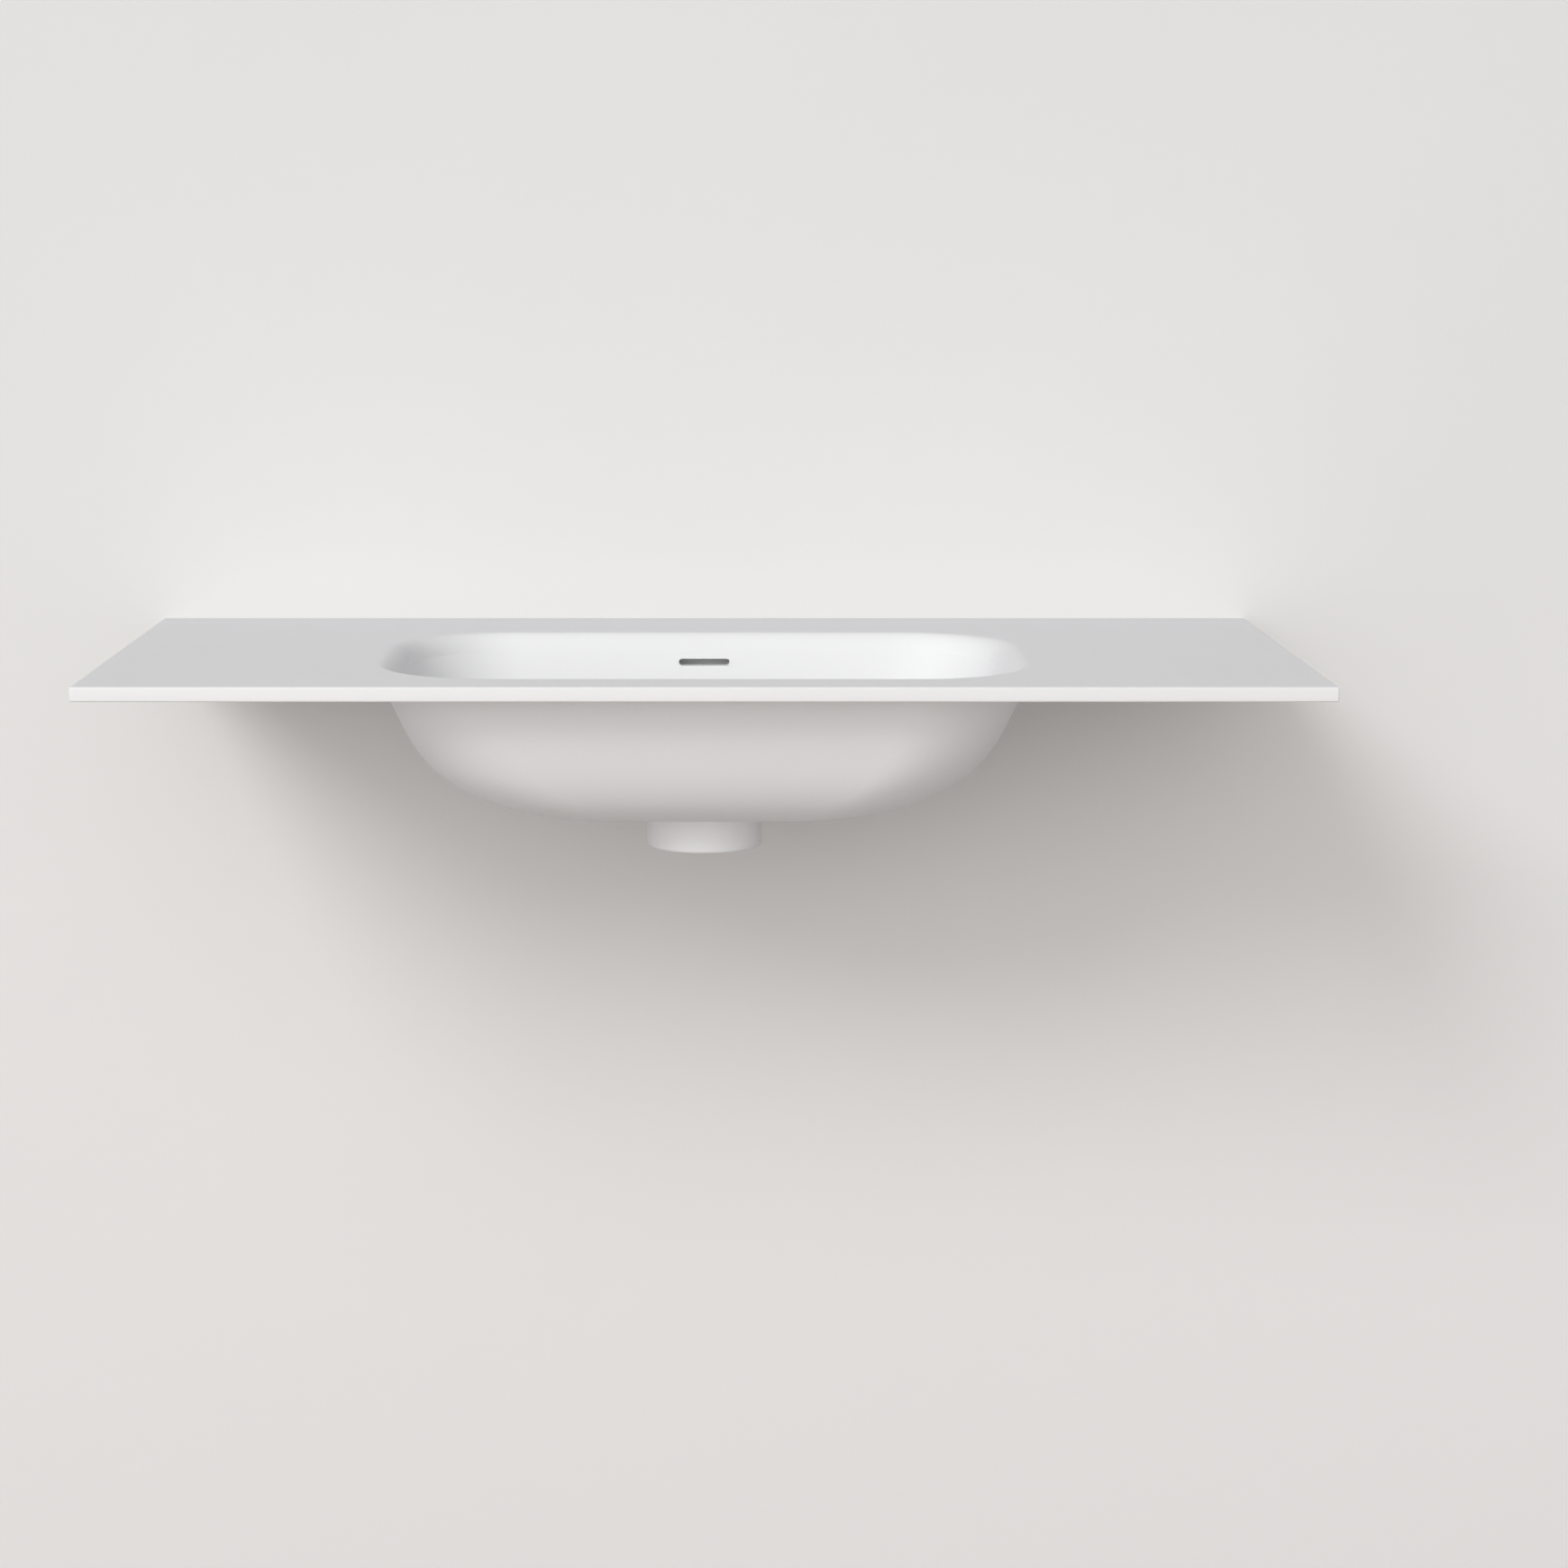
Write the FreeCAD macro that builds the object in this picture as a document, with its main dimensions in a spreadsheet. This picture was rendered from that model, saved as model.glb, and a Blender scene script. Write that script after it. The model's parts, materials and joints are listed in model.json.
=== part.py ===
import FreeCAD, Part
import math
import os
import re

import Sketcher

# Wall-hung washbasin top: a thin white solid-surface panel with an oblong bowl bonded under it,
# an overflow, a push-open waste and two concealed steel consoles.
# X runs along the wall, Y points into the wall, Z points up. The origin is on the wall plane,
# in the middle of the panel's top back edge.

# Driving dimensions, in millimetres
SIZES = {
    # Deck panel
    "deck_width": 1000,
    "deck_depth": 460,
    "deck_thickness": 12,
    "edge_round": 1.5,
    # Bowl opening in the panel, measured where the lip starts to turn down
    "rim_width": 540,
    "rim_depth": 316,
    "rim_corner": 100,
    "rim_downstand": 4.5,
    "lip_radius": 16,
    "basin_setback": 201,
    # Bowl shell
    "basin_depth": 121,
    "bowl_wall": 12.5,
    "floor_width": 210,
    "floor_margin": 3,
    # Overflow slot in the bowl's back wall
    "slot_width": 45,
    "slot_height": 6,
    "slot_drop": 25.4,
    # Overflow duct behind and under the bowl
    "duct_width": 60,
    "duct_wall": 3,
    "duct_channel": 9,
    "bond_gap": 0.2,
    # Collar under the bowl, around the waste
    "collar_diameter": 98,
    "collar_height": 29.5,
    "collar_round": 2.5,
    "collar_chamber_diameter": 66,
    "collar_chamber_height": 8,
    "collar_web": 4.5,
    "collar_pocket_diameter": 78,
    "collar_port_width": 44,
    "collar_port_height": 6,
    # Waste body
    "waste_hole_diameter": 46,
    "flange_diameter": 64,
    "flange_thickness": 2.5,
    "flange_recess_gap": 0.4,
    "flange_seat_diameter": 48,
    "flange_seat_drop": 3.2,
    "thread_diameter": 41.9,
    "waste_bore_diameter": 36.6,
    "spigot_diameter": 40,
    "spigot_length": 10,
    "window_width": 16,
    "window_height": 5.6,
    "bridge_drop": 22,
    "bridge_height": 5,
    "spoke_width": 4,
    "hub_diameter": 16,
    # Seals, washer and nut on the waste
    "flange_seal_thickness": 1,
    "gasket_diameter": 62,
    "gasket_thickness": 2.5,
    "washer_thickness": 1.2,
    "nut_flats": 52,
    "nut_height": 7,
    "thread_gap": 0.3,
    # Push-open cartridge
    "housing_diameter": 17,
    "housing_wall": 2.2,
    "housing_floor": 1.7,
    "housing_top_drop": 2,
    "stub_diameter": 10,
    "stub_length": 6,
    "cap_thickness": 1.5,
    "cap_spigot": 2.5,
    "rod_diameter": 7,
    "drum_height": 3.4,
    "guide_length": 2.8,
    "running_gap": 0.05,
    "stop_gap": 0.2,
    "latch_pin_diameter": 1.2,
    "latch_pin_drop": 10,
    "latch_reach": 0.8,
    "spring_diameter": 9,
    "spring_wire": 0.7,
    "spring_turns": 5,
    # Plug
    "plug_diameter": 65,
    "plug_thickness": 5,
    "plug_round": 2,
    "plug_travel": 8,
    "plug_seal_thickness": 1,
    "plug_seal_width": 6,
    "plug_seal_inset": 1.5,
    "rod_seat": 2.5,
    # Concealed consoles
    "console_inset": 110,
    "console_width": 50,
    "console_plate": 6,
    "console_arm": 300,
    "console_height": 56,
    "console_nose": 10,
    "wall_hole_diameter": 9,
    "wall_hole_top": 20,
    "wall_hole_spacing": 24,
    "pad_thickness": 2,
    # Screws that hold the consoles to the panel
    "screw_diameter": 6,
    "screw_head_diameter": 10.5,
    "screw_head_height": 3.3,
    "screw_socket": 4,
    "screw_socket_depth": 1.8,
    "screw_setback": 60,
    "screw_spacing": 200,
    "screw_hole_gap": 0.3,
    "screw_tip_gap": 1,
    "flat_washer_diameter": 12,
    "flat_washer_thickness": 1.6,
    "insert_diameter": 8.5,
    "insert_cover": 3,
    "insert_gap": 0.05,
}

# Bowl sections from the rim's underside to the floor: share of the drop and share of the inset
DROP_SHARES = (0, 0.19, 0.42, 0.627, 0.792, 0.907, 0.974, 1)
INSET_SHARES = (0, 0.056, 0.132, 0.239, 0.381, 0.563, 0.787, 1)
# A section's corners are limited to this share of its half depth, and the lip to this share of the rim
CORNER_LIMIT_SHARE = 0.9
LIP_LIMIT_SHARE = 0.98
# Overrun of cuts past the faces that they open, as a share of the panel's thickness
OVERRUN_SHARE = 0.25
HEX_CORNER_SHARE = 1 / math.cos(math.radians(30))

doc = FreeCAD.newDocument("washbasin_top")
sheet = doc.addObject("Spreadsheet::Sheet", "sizes")
for row, (alias, value) in enumerate(SIZES.items(), start=1):
    sheet.set(f"A{row}", alias)
    sheet.set(f"B{row}", str(value))
    sheet.setAlias(f"B{row}", alias)
doc.recompute()

# Places that several pieces share, written in the sheet's names
RIM_DROP = "(deck_thickness + rim_downstand)"
LIP = f"min(lip_radius; {RIM_DROP} * {LIP_LIMIT_SHARE})"
MOUTH_HALF_WIDTH = f"(rim_width / 2 - {LIP})"
MOUTH_HALF_DEPTH = f"(rim_depth / 2 - {LIP})"
MOUTH_CORNER = f"(rim_corner - {LIP})"
BASIN_Y = "(basin_setback - deck_depth)"
FLOOR_HALF_DEPTH = "(collar_diameter / 2 + floor_margin)"
OVERRUN = f"(deck_thickness * {OVERRUN_SHARE})"
# Levels measured from the bowl's floor, along the waste's axis
SEAT_DROP = "(flange_thickness + flange_seal_thickness)"
CHAMBER_DROP = "(bowl_wall + collar_chamber_height)"
POCKET_DROP = f"({CHAMBER_DROP} + collar_web)"
COLLAR_DROP = "(bowl_wall + collar_height)"
NUT_DROP = f"({POCKET_DROP} + gasket_thickness + washer_thickness)"
SPIGOT_DROP = f"({NUT_DROP} + nut_height + thread_gap)"
TAIL_DROP = f"({SPIGOT_DROP} + spigot_length)"
HOUSING_BORE = "(housing_diameter / 2 - housing_wall)"
DRUM_TOP = "(-housing_top_drop - cap_spigot - stop_gap)"
DRUM_BOTTOM = f"({DRUM_TOP} - drum_height)"
HOUSING_FLOOR = "(housing_floor - bridge_drop)"
PLUG_UNDERSIDE = "(plug_travel + stop_gap + plug_seal_thickness)"
# Levels and places of the consoles
CONSOLE_SPACING = "(deck_width - 2 * console_inset)"
CONSOLE_TOP = "(-deck_thickness - pad_thickness)"
HEAD_SEAT = f"({CONSOLE_TOP} - console_plate - flat_washer_thickness)"
SCREW_TIP = "(-insert_cover - screw_tip_gap)"


def bound(expression):
    """The expression with every name of the sheet made a reference to its cell."""
    return re.sub(r"[a-z]\w*", lambda name: "sizes." + name[0] if name[0] in SIZES else name[0], expression)


def measure(expression):
    """The expression's value with the sheet's present sizes."""
    return float(sheet.evalExpression(expression))


def new_body(label, place=("0", "0", "0")):
    body = doc.addObject("PartDesign::Body", label)
    body.Label = label
    for axis, expression in zip("xyz", place):
        if expression != "0":
            body.setExpression(f"Placement.Base.{axis}", bound(expression))
    return body


def waste_body_at_drain(label):
    """A body whose own origin is on the waste's axis, level with the bowl's floor."""
    return new_body(label, ("0", BASIN_Y, "-basin_depth"))


def new_sketch(body, name, plane="XY_Plane", offset=("0", "0", "0")):
    sketch = body.newObject("Sketcher::SketchObject", name)
    support = next(feature for feature in body.Origin.OriginFeatures if feature.Role == plane)
    sketch.AttachmentSupport = [(support, "")]
    sketch.MapMode = "FlatFace"
    for axis, expression in zip("xyz", offset):
        if expression != "0":
            sketch.setExpression(f"AttachmentOffset.Base.{axis}", bound(expression))
    return sketch


def dimension(sketch, kind, first, second, expression):
    """A driving dimension of the sketch, bound to the sheet."""
    value = measure(expression)
    index = sketch.addConstraint(Sketcher.Constraint(kind, *first, *second, value))
    sketch.setExpression(f"Constraints[{index}]", bound(expression))


def polygon(sketch, corners):
    """A closed outline with every corner dimensioned from the sketch's origin."""
    points = [FreeCAD.Vector(measure(x), measure(y), 0) for x, y in corners]
    lines = [
        sketch.addGeometry(Part.LineSegment(start, end), False)
        for start, end in zip(points, points[1:] + points[:1])
    ]
    for line, following in zip(lines, lines[1:] + lines[:1]):
        sketch.addConstraint(Sketcher.Constraint("Coincident", line, 2, following, 1))
    for line, (x, y) in zip(lines, corners):
        dimension(sketch, "DistanceX", (-1, 1), (line, 1), x)
        dimension(sketch, "DistanceY", (-1, 1), (line, 1), y)
    return sketch


def rectangle(sketch, left, right, low, high):
    return polygon(sketch, [(left, low), (right, low), (right, high), (left, high)])


def circle(sketch, x, y, diameter):
    centre = FreeCAD.Vector(measure(x), measure(y), 0)
    ring = sketch.addGeometry(Part.Circle(centre, FreeCAD.Vector(0, 0, 1), measure(diameter) / 2), False)
    dimension(sketch, "DistanceX", (-1, 1), (ring, 3), x)
    dimension(sketch, "DistanceY", (-1, 1), (ring, 3), y)
    dimension(sketch, "Diameter", (ring,), (), diameter)
    return sketch


def rounded_rectangle(sketch, half_width, half_depth, corner):
    """A rectangle about the sketch's origin with four equal round corners."""
    width, depth, radius = measure(half_width), measure(half_depth), measure(corner)
    across, along = width - radius, depth - radius
    arcs = []
    for turn, (x, y) in enumerate(((across, along), (-across, along), (-across, -along), (across, -along))):
        ring = Part.Circle(FreeCAD.Vector(x, y, 0), FreeCAD.Vector(0, 0, 1), radius)
        start = turn * math.pi / 2
        arcs.append(sketch.addGeometry(Part.ArcOfCircle(ring, start, start + math.pi / 2), False))
    for arc, following in zip(arcs, arcs[1:] + arcs[:1]):
        start = sketch.getPoint(arc, 2)
        end = sketch.getPoint(following, 1)
        side = sketch.addGeometry(Part.LineSegment(start, end), False)
        sketch.addConstraint(Sketcher.Constraint("Tangent", arc, 2, side, 1))
        sketch.addConstraint(Sketcher.Constraint("Tangent", side, 2, following, 1))
    signs = (("", ""), ("-", ""), ("-", "-"), ("", "-"))
    for arc, (x_sign, y_sign) in zip(arcs, signs):
        dimension(sketch, "DistanceX", (-1, 1), (arc, 3), f"{x_sign}({half_width} - {corner})")
        dimension(sketch, "DistanceY", (-1, 1), (arc, 3), f"{y_sign}({half_depth} - {corner})")
    dimension(sketch, "Radius", (arcs[0],), (), corner)
    return sketch


def long_slot(sketch, x, y, width, height):
    """A level slot with round ends, centred at x, y."""
    reach, radius = f"({width} - {height}) / 2", f"{height} / 2"
    middle = FreeCAD.Vector(measure(x), measure(y), 0)
    out = FreeCAD.Vector(measure(reach), 0, 0)
    up = FreeCAD.Vector(0, 0, 1)
    size = measure(radius)
    right = sketch.addGeometry(
        Part.ArcOfCircle(Part.Circle(middle + out, up, size), -math.pi / 2, math.pi / 2), False
    )
    left = sketch.addGeometry(
        Part.ArcOfCircle(Part.Circle(middle - out, up, size), math.pi / 2, 3 * math.pi / 2), False
    )
    for arc, following in ((right, left), (left, right)):
        start = sketch.getPoint(arc, 2)
        end = sketch.getPoint(following, 1)
        side = sketch.addGeometry(Part.LineSegment(start, end), False)
        sketch.addConstraint(Sketcher.Constraint("Tangent", arc, 2, side, 1))
        sketch.addConstraint(Sketcher.Constraint("Tangent", side, 2, following, 1))
    for arc, sign in ((right, "+"), (left, "-")):
        dimension(sketch, "DistanceX", (-1, 1), (arc, 3), f"{x} {sign} {reach}")
        dimension(sketch, "DistanceY", (-1, 1), (arc, 3), y)
    dimension(sketch, "Radius", (right,), (), radius)
    return sketch


def pad(body, sketch, length, backwards=False):
    feature = body.newObject("PartDesign::Pad", sketch.Name + "_pad")
    feature.Profile = sketch
    feature.setExpression("Length", bound(length))
    feature.Reversed = backwards
    doc.recompute()
    return feature


def pocket(body, sketch, length, backwards=False):
    """A cut of the given length, which has to take material away."""
    before = body.Shape.Volume
    feature = body.newObject("PartDesign::Pocket", sketch.Name + "_pocket")
    feature.Profile = sketch
    feature.setExpression("Length", bound(length))
    feature.Reversed = backwards
    doc.recompute()
    if body.Shape.Volume >= before:
        raise RuntimeError(f"{sketch.Name} cuts nothing")
    return feature


def revolve(body, sketch):
    feature = body.newObject("PartDesign::Revolution", sketch.Name + "_turned")
    feature.Profile = sketch
    feature.ReferenceAxis = (sketch, ["V_Axis"])
    feature.Angle = 360
    doc.recompute()
    return feature


def turned(label, corners):
    """A piece turned about the waste's axis from corners given as radius and level."""
    body = waste_body_at_drain(label)
    revolve(body, polygon(new_sketch(body, f"{label}_profile", "XZ_Plane"), corners))
    return body


def ring(label, inner_diameter, outer_diameter, low, high):
    """A flat ring about the waste's axis."""
    inner, outer = f"({inner_diameter}) / 2", f"({outer_diameter}) / 2"
    return turned(label, [(inner, low), (outer, low), (outer, high), (inner, high)])


def round_edges(body, name, wanted, radius):
    """A fillet on every edge of the body's present shape that the test picks."""
    base = body.Tip
    names = [f"Edge{n}" for n, edge in enumerate(base.Shape.Edges, start=1) if wanted(edge)]
    feature = body.newObject("PartDesign::Fillet", name)
    feature.Base = (base, names)
    feature.setExpression("Radius", bound(radius))
    doc.recompute()
    return feature


def repeat(body, feature, name, *runs):
    """Copies of a feature along the body's axes: each run is an axis role and the distance between two."""
    body.AllowCompound = True
    steps = []
    for role, length in runs:
        axis = next(line for line in body.Origin.OriginFeatures if line.Role == role)
        step = doc.addObject("PartDesign::LinearPattern", f"{name}_{role.lower()}")
        step.Direction = (axis, [""])
        step.setExpression("Length", bound(length))
        step.Occurrences = 2
        steps.append(step)
    pattern = body.newObject("PartDesign::MultiTransform", name)
    pattern.Originals = [feature]
    pattern.Transformations = steps
    body.Tip = pattern
    doc.recompute()
    return pattern


def turn_copies(body, feature, name, count, angle):
    """Copies of a feature turned about the body's upright axis."""
    axis = next(line for line in body.Origin.OriginFeatures if line.Role == "Z_Axis")
    pattern = body.newObject("PartDesign::PolarPattern", name)
    pattern.Originals = [feature]
    pattern.Axis = (axis, [""])
    pattern.Angle = angle
    pattern.Occurrences = count
    body.Tip = pattern
    doc.recompute()
    return pattern


def bowl_sections(growth, top_drop="0"):
    """The bowl's form, grown outwards from its inner face by a given amount.

    Gives each section's half width, half depth and level, from the rim's underside to the floor.
    """
    start = f"({RIM_DROP} + {top_drop})"
    drop = f"(basin_depth + {growth} - {start})"
    top_width, top_depth = f"({MOUTH_HALF_WIDTH} + {growth})", f"({MOUTH_HALF_DEPTH} + {growth})"
    for drop_share, inset_share in zip(DROP_SHARES, INSET_SHARES):
        wide = f"({top_width} - {inset_share} * ({top_width} - floor_width / 2))"
        deep = f"({top_depth} - {inset_share} * ({top_depth} - {FLOOR_HALF_DEPTH}))"
        yield wide, deep, f"-({start} + {drop_share} * {drop})"


def bowl_loft(body, name, growth, cut=False):
    """A loft through the bowl's sections, added to the body or cut from it."""
    sections = []
    for number, (wide, deep, level) in enumerate(bowl_sections(growth)):
        corner = f"min({MOUTH_CORNER} + {growth}; {deep} * {CORNER_LIMIT_SHARE})"
        sketch = new_sketch(body, f"{name}_{number}", offset=("0", BASIN_Y, level))
        sections.append(rounded_rectangle(sketch, wide, deep, corner))
    kind = "PartDesign::SubtractiveLoft" if cut else "PartDesign::AdditiveLoft"
    loft = body.newObject(kind, name)
    loft.Profile = sections[0]
    loft.Sections = sections[1:]
    doc.recompute()
    return loft


def make_deck():
    """The panel, with its eased edges, the rim around the bowl's opening and blind holes for the inserts."""
    body = new_body("deck_panel")
    half = "deck_width / 2"
    outline = rectangle(new_sketch(body, "deck_outline"), f"-{half}", half, "-deck_depth", "0")
    pad(body, outline, "deck_thickness", backwards=True)
    wall_side = -measure("edge_round")
    round_edges(body, "deck_arris", lambda edge: edge.BoundBox.YMin < wall_side, "edge_round")
    rim = new_sketch(body, "rim_outline", offset=("0", BASIN_Y, "-deck_thickness"))
    rim_sides = (f"({side} + bowl_wall)" for side in (MOUTH_HALF_WIDTH, MOUTH_HALF_DEPTH, MOUTH_CORNER))
    pad(body, rounded_rectangle(rim, *rim_sides), "rim_downstand", backwards=True)
    opening = new_sketch(body, "bowl_opening", offset=("0", BASIN_Y, "0"))
    rounded_rectangle(opening, MOUTH_HALF_WIDTH, MOUTH_HALF_DEPTH, MOUTH_CORNER)
    pocket(body, opening, RIM_DROP)
    reach_x, reach_y = measure(MOUTH_HALF_WIDTH), measure(MOUTH_HALF_DEPTH)
    tolerance = measure(f"{OVERRUN}")

    def on_lip(edge):
        box = edge.BoundBox
        middle = measure(BASIN_Y)
        level = abs(box.ZMin) < tolerance and abs(box.ZMax) < tolerance
        within_x = max(abs(box.XMin), abs(box.XMax)) < reach_x + tolerance
        within_y = max(abs(box.YMin - middle), abs(box.YMax - middle)) < reach_y + tolerance
        return level and within_x and within_y

    round_edges(body, "bowl_lip", on_lip, LIP)
    holes = new_sketch(body, "insert_holes", offset=("0", "0", "-deck_thickness"))
    for x in (f"-{CONSOLE_SPACING} / 2", f"{CONSOLE_SPACING} / 2"):
        for y in ("-screw_setback", "-screw_setback - screw_spacing"):
            circle(holes, x, y, "insert_diameter + 2 * insert_gap")
    pocket(body, holes, "deck_thickness - insert_cover", backwards=True)


def make_bowl():
    """The bowl's shell, bonded under the panel's rim, with its overflow slot and the waste's seat."""
    body = new_body("basin_bowl")
    bowl_loft(body, "bowl_outside", "bowl_wall")
    bowl_loft(body, "bowl_inside", "0", cut=True)
    slot = new_sketch(body, "overflow_slot", "XZ_Plane", ("0", "0", f"-{BASIN_Y}"))
    long_slot(slot, "0", "-slot_drop", "slot_width", "slot_height")
    pocket(body, slot, "rim_depth / 2 + bowl_wall")
    drain = ("0", BASIN_Y, "-basin_depth")
    recess = new_sketch(body, "flange_recess", offset=drain)
    seat = circle(recess, "0", "0", "flange_diameter + 2 * flange_recess_gap")
    pocket(body, seat, SEAT_DROP)
    hole = circle(new_sketch(body, "waste_hole", offset=drain), "0", "0", "waste_hole_diameter")
    pocket(body, hole, f"bowl_wall + {OVERRUN}")


def make_collar():
    """The round collar under the bowl: an overflow chamber above its web, the nut's pocket below."""
    hole, outer = "waste_hole_diameter / 2", "collar_diameter / 2"
    chamber, recess = "collar_chamber_diameter / 2", "collar_pocket_diameter / 2"
    body = turned(
        "waste_collar",
        [
            (hole, f"-{CHAMBER_DROP}"),
            (chamber, f"-{CHAMBER_DROP}"),
            (chamber, "-bowl_wall"),
            (outer, "-bowl_wall"),
            (outer, f"-{COLLAR_DROP}"),
            (recess, f"-{COLLAR_DROP}"),
            (recess, f"-{POCKET_DROP}"),
            (hole, f"-{POCKET_DROP}"),
        ],
    )
    low, radius = -measure(COLLAR_DROP), measure(outer)

    def on_foot(edge):
        box = edge.BoundBox
        return box.ZMax < low + measure("collar_round") and box.XLength > radius

    feet = [edge for edge in body.Tip.Shape.Edges if on_foot(edge)]
    widest = max(edge.BoundBox.XLength for edge in feet)
    round_edges(
        body,
        "collar_foot",
        lambda edge: on_foot(edge) and edge.BoundBox.XLength > widest - measure("collar_round"),
        "collar_round",
    )
    port = new_sketch(body, "overflow_port", "XZ_Plane")
    half = "collar_port_width / 2"
    high = "(-bowl_wall - bond_gap)"
    rectangle(port, f"-{half}", half, f"{high} - collar_port_height", high)
    pocket(body, port, "collar_diameter / 2")


def make_duct():
    """The overflow's channel, bonded behind the bowl from the slot down to the collar's port."""
    body = new_body("overflow_duct")
    half = "duct_width / 2"

    def side_view(name, growth, top_drop, half_width):
        """The back half of the bowl's form, seen from its end."""
        sections = list(bowl_sections(growth, top_drop))
        corners = [(f"{BASIN_Y} + {deep}", level) for wide, deep, level in sections]
        ends = [(BASIN_Y, corners[-1][1]), (BASIN_Y, corners[0][1])]
        sketch = new_sketch(body, name, "YZ_Plane", ("0", "0", f"-({half_width})"))
        return polygon(sketch, corners + ends)

    inside = "(bowl_wall + duct_channel)"
    outside = f"({inside} + duct_wall)"
    pad(body, side_view("duct_outside", outside, "0", half), "duct_width")
    channel = side_view("duct_channel_side", inside, "duct_wall", f"{half} - duct_wall")
    pocket(body, channel, "duct_width - 2 * duct_wall", backwards=True)
    bowl_loft(body, "duct_bowl_face", "(bowl_wall + bond_gap)", cut=True)
    mouth = new_sketch(body, "duct_mouth", offset=("0", BASIN_Y, "0"))
    circle(mouth, "0", "0", "collar_diameter + 2 * bond_gap")
    pocket(body, mouth, f"basin_depth + {outside}")


def make_waste():
    """The waste's body with its flange, overflow windows and bridge, and what clamps it."""
    bore, thread, spigot = "waste_bore_diameter / 2", "thread_diameter / 2", "spigot_diameter / 2"
    flange, seat = "flange_diameter / 2", "flange_seat_diameter / 2"
    body = turned(
        "waste_body",
        [
            (bore, f"-{TAIL_DROP}"),
            (spigot, f"-{TAIL_DROP}"),
            (spigot, f"-{SPIGOT_DROP}"),
            (thread, f"-{SPIGOT_DROP}"),
            (thread, "-flange_thickness"),
            (flange, "-flange_thickness"),
            (flange, "0"),
            (seat, "0"),
            (bore, "-flange_seat_drop"),
        ],
    )
    window = new_sketch(body, "overflow_window", "XZ_Plane", ("0", "0", "-thread_diameter / 2"))
    middle = "(-bowl_wall - collar_chamber_height / 2)"
    long_slot(window, "0", middle, "window_width", "window_height")
    opened = pocket(body, window, "thread_diameter", backwards=True)
    turn_copies(body, opened, "overflow_windows", 2, 90)
    bridge = ("0", "0", "-bridge_drop")
    bar = new_sketch(body, "bridge_bar", offset=bridge)
    reach = f"({bore} + thread_gap)"
    rectangle(bar, f"-{reach}", reach, "-spoke_width / 2", "spoke_width / 2")
    spokes = pad(body, bar, "bridge_height", backwards=True)
    turn_copies(body, spokes, "bridge_spokes", 2, 90)
    hub = circle(new_sketch(body, "bridge_hub", offset=bridge), "0", "0", "hub_diameter")
    pad(body, hub, "bridge_height", backwards=True)
    thread_hole = new_sketch(body, "hub_hole", offset=bridge)
    circle(thread_hole, "0", "0", "stub_diameter + 2 * running_gap")
    pocket(body, thread_hole, "bridge_height")

    loose = "thread_diameter + 2 * thread_gap"
    ring("flange_seal", loose, "flange_diameter", f"-{SEAT_DROP}", "-flange_thickness")
    ring("back_gasket", loose, "gasket_diameter", f"-{POCKET_DROP} - gasket_thickness", f"-{POCKET_DROP}")
    ring("slip_washer", loose, "gasket_diameter", f"-{NUT_DROP}", f"-{NUT_DROP} + washer_thickness")

    nut = waste_body_at_drain("back_nut")
    outline = new_sketch(nut, "nut_outline", offset=("0", "0", f"-{NUT_DROP}"))
    corner = f"nut_flats / 2 * {HEX_CORNER_SHARE}"
    turns = [math.radians(60 * step) for step in range(6)]
    shares = [(f"{math.cos(turn):.9f}", f"{math.sin(turn):.9f}") for turn in turns]
    polygon(outline, [(f"{corner} * {across}", f"{corner} * {along}") for across, along in shares])
    pad(nut, outline, "nut_height", backwards=True)
    nut_thread = circle(new_sketch(nut, "nut_thread", offset=("0", "0", f"-{NUT_DROP}")), "0", "0", loose)
    pocket(nut, nut_thread, "nut_height")


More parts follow.
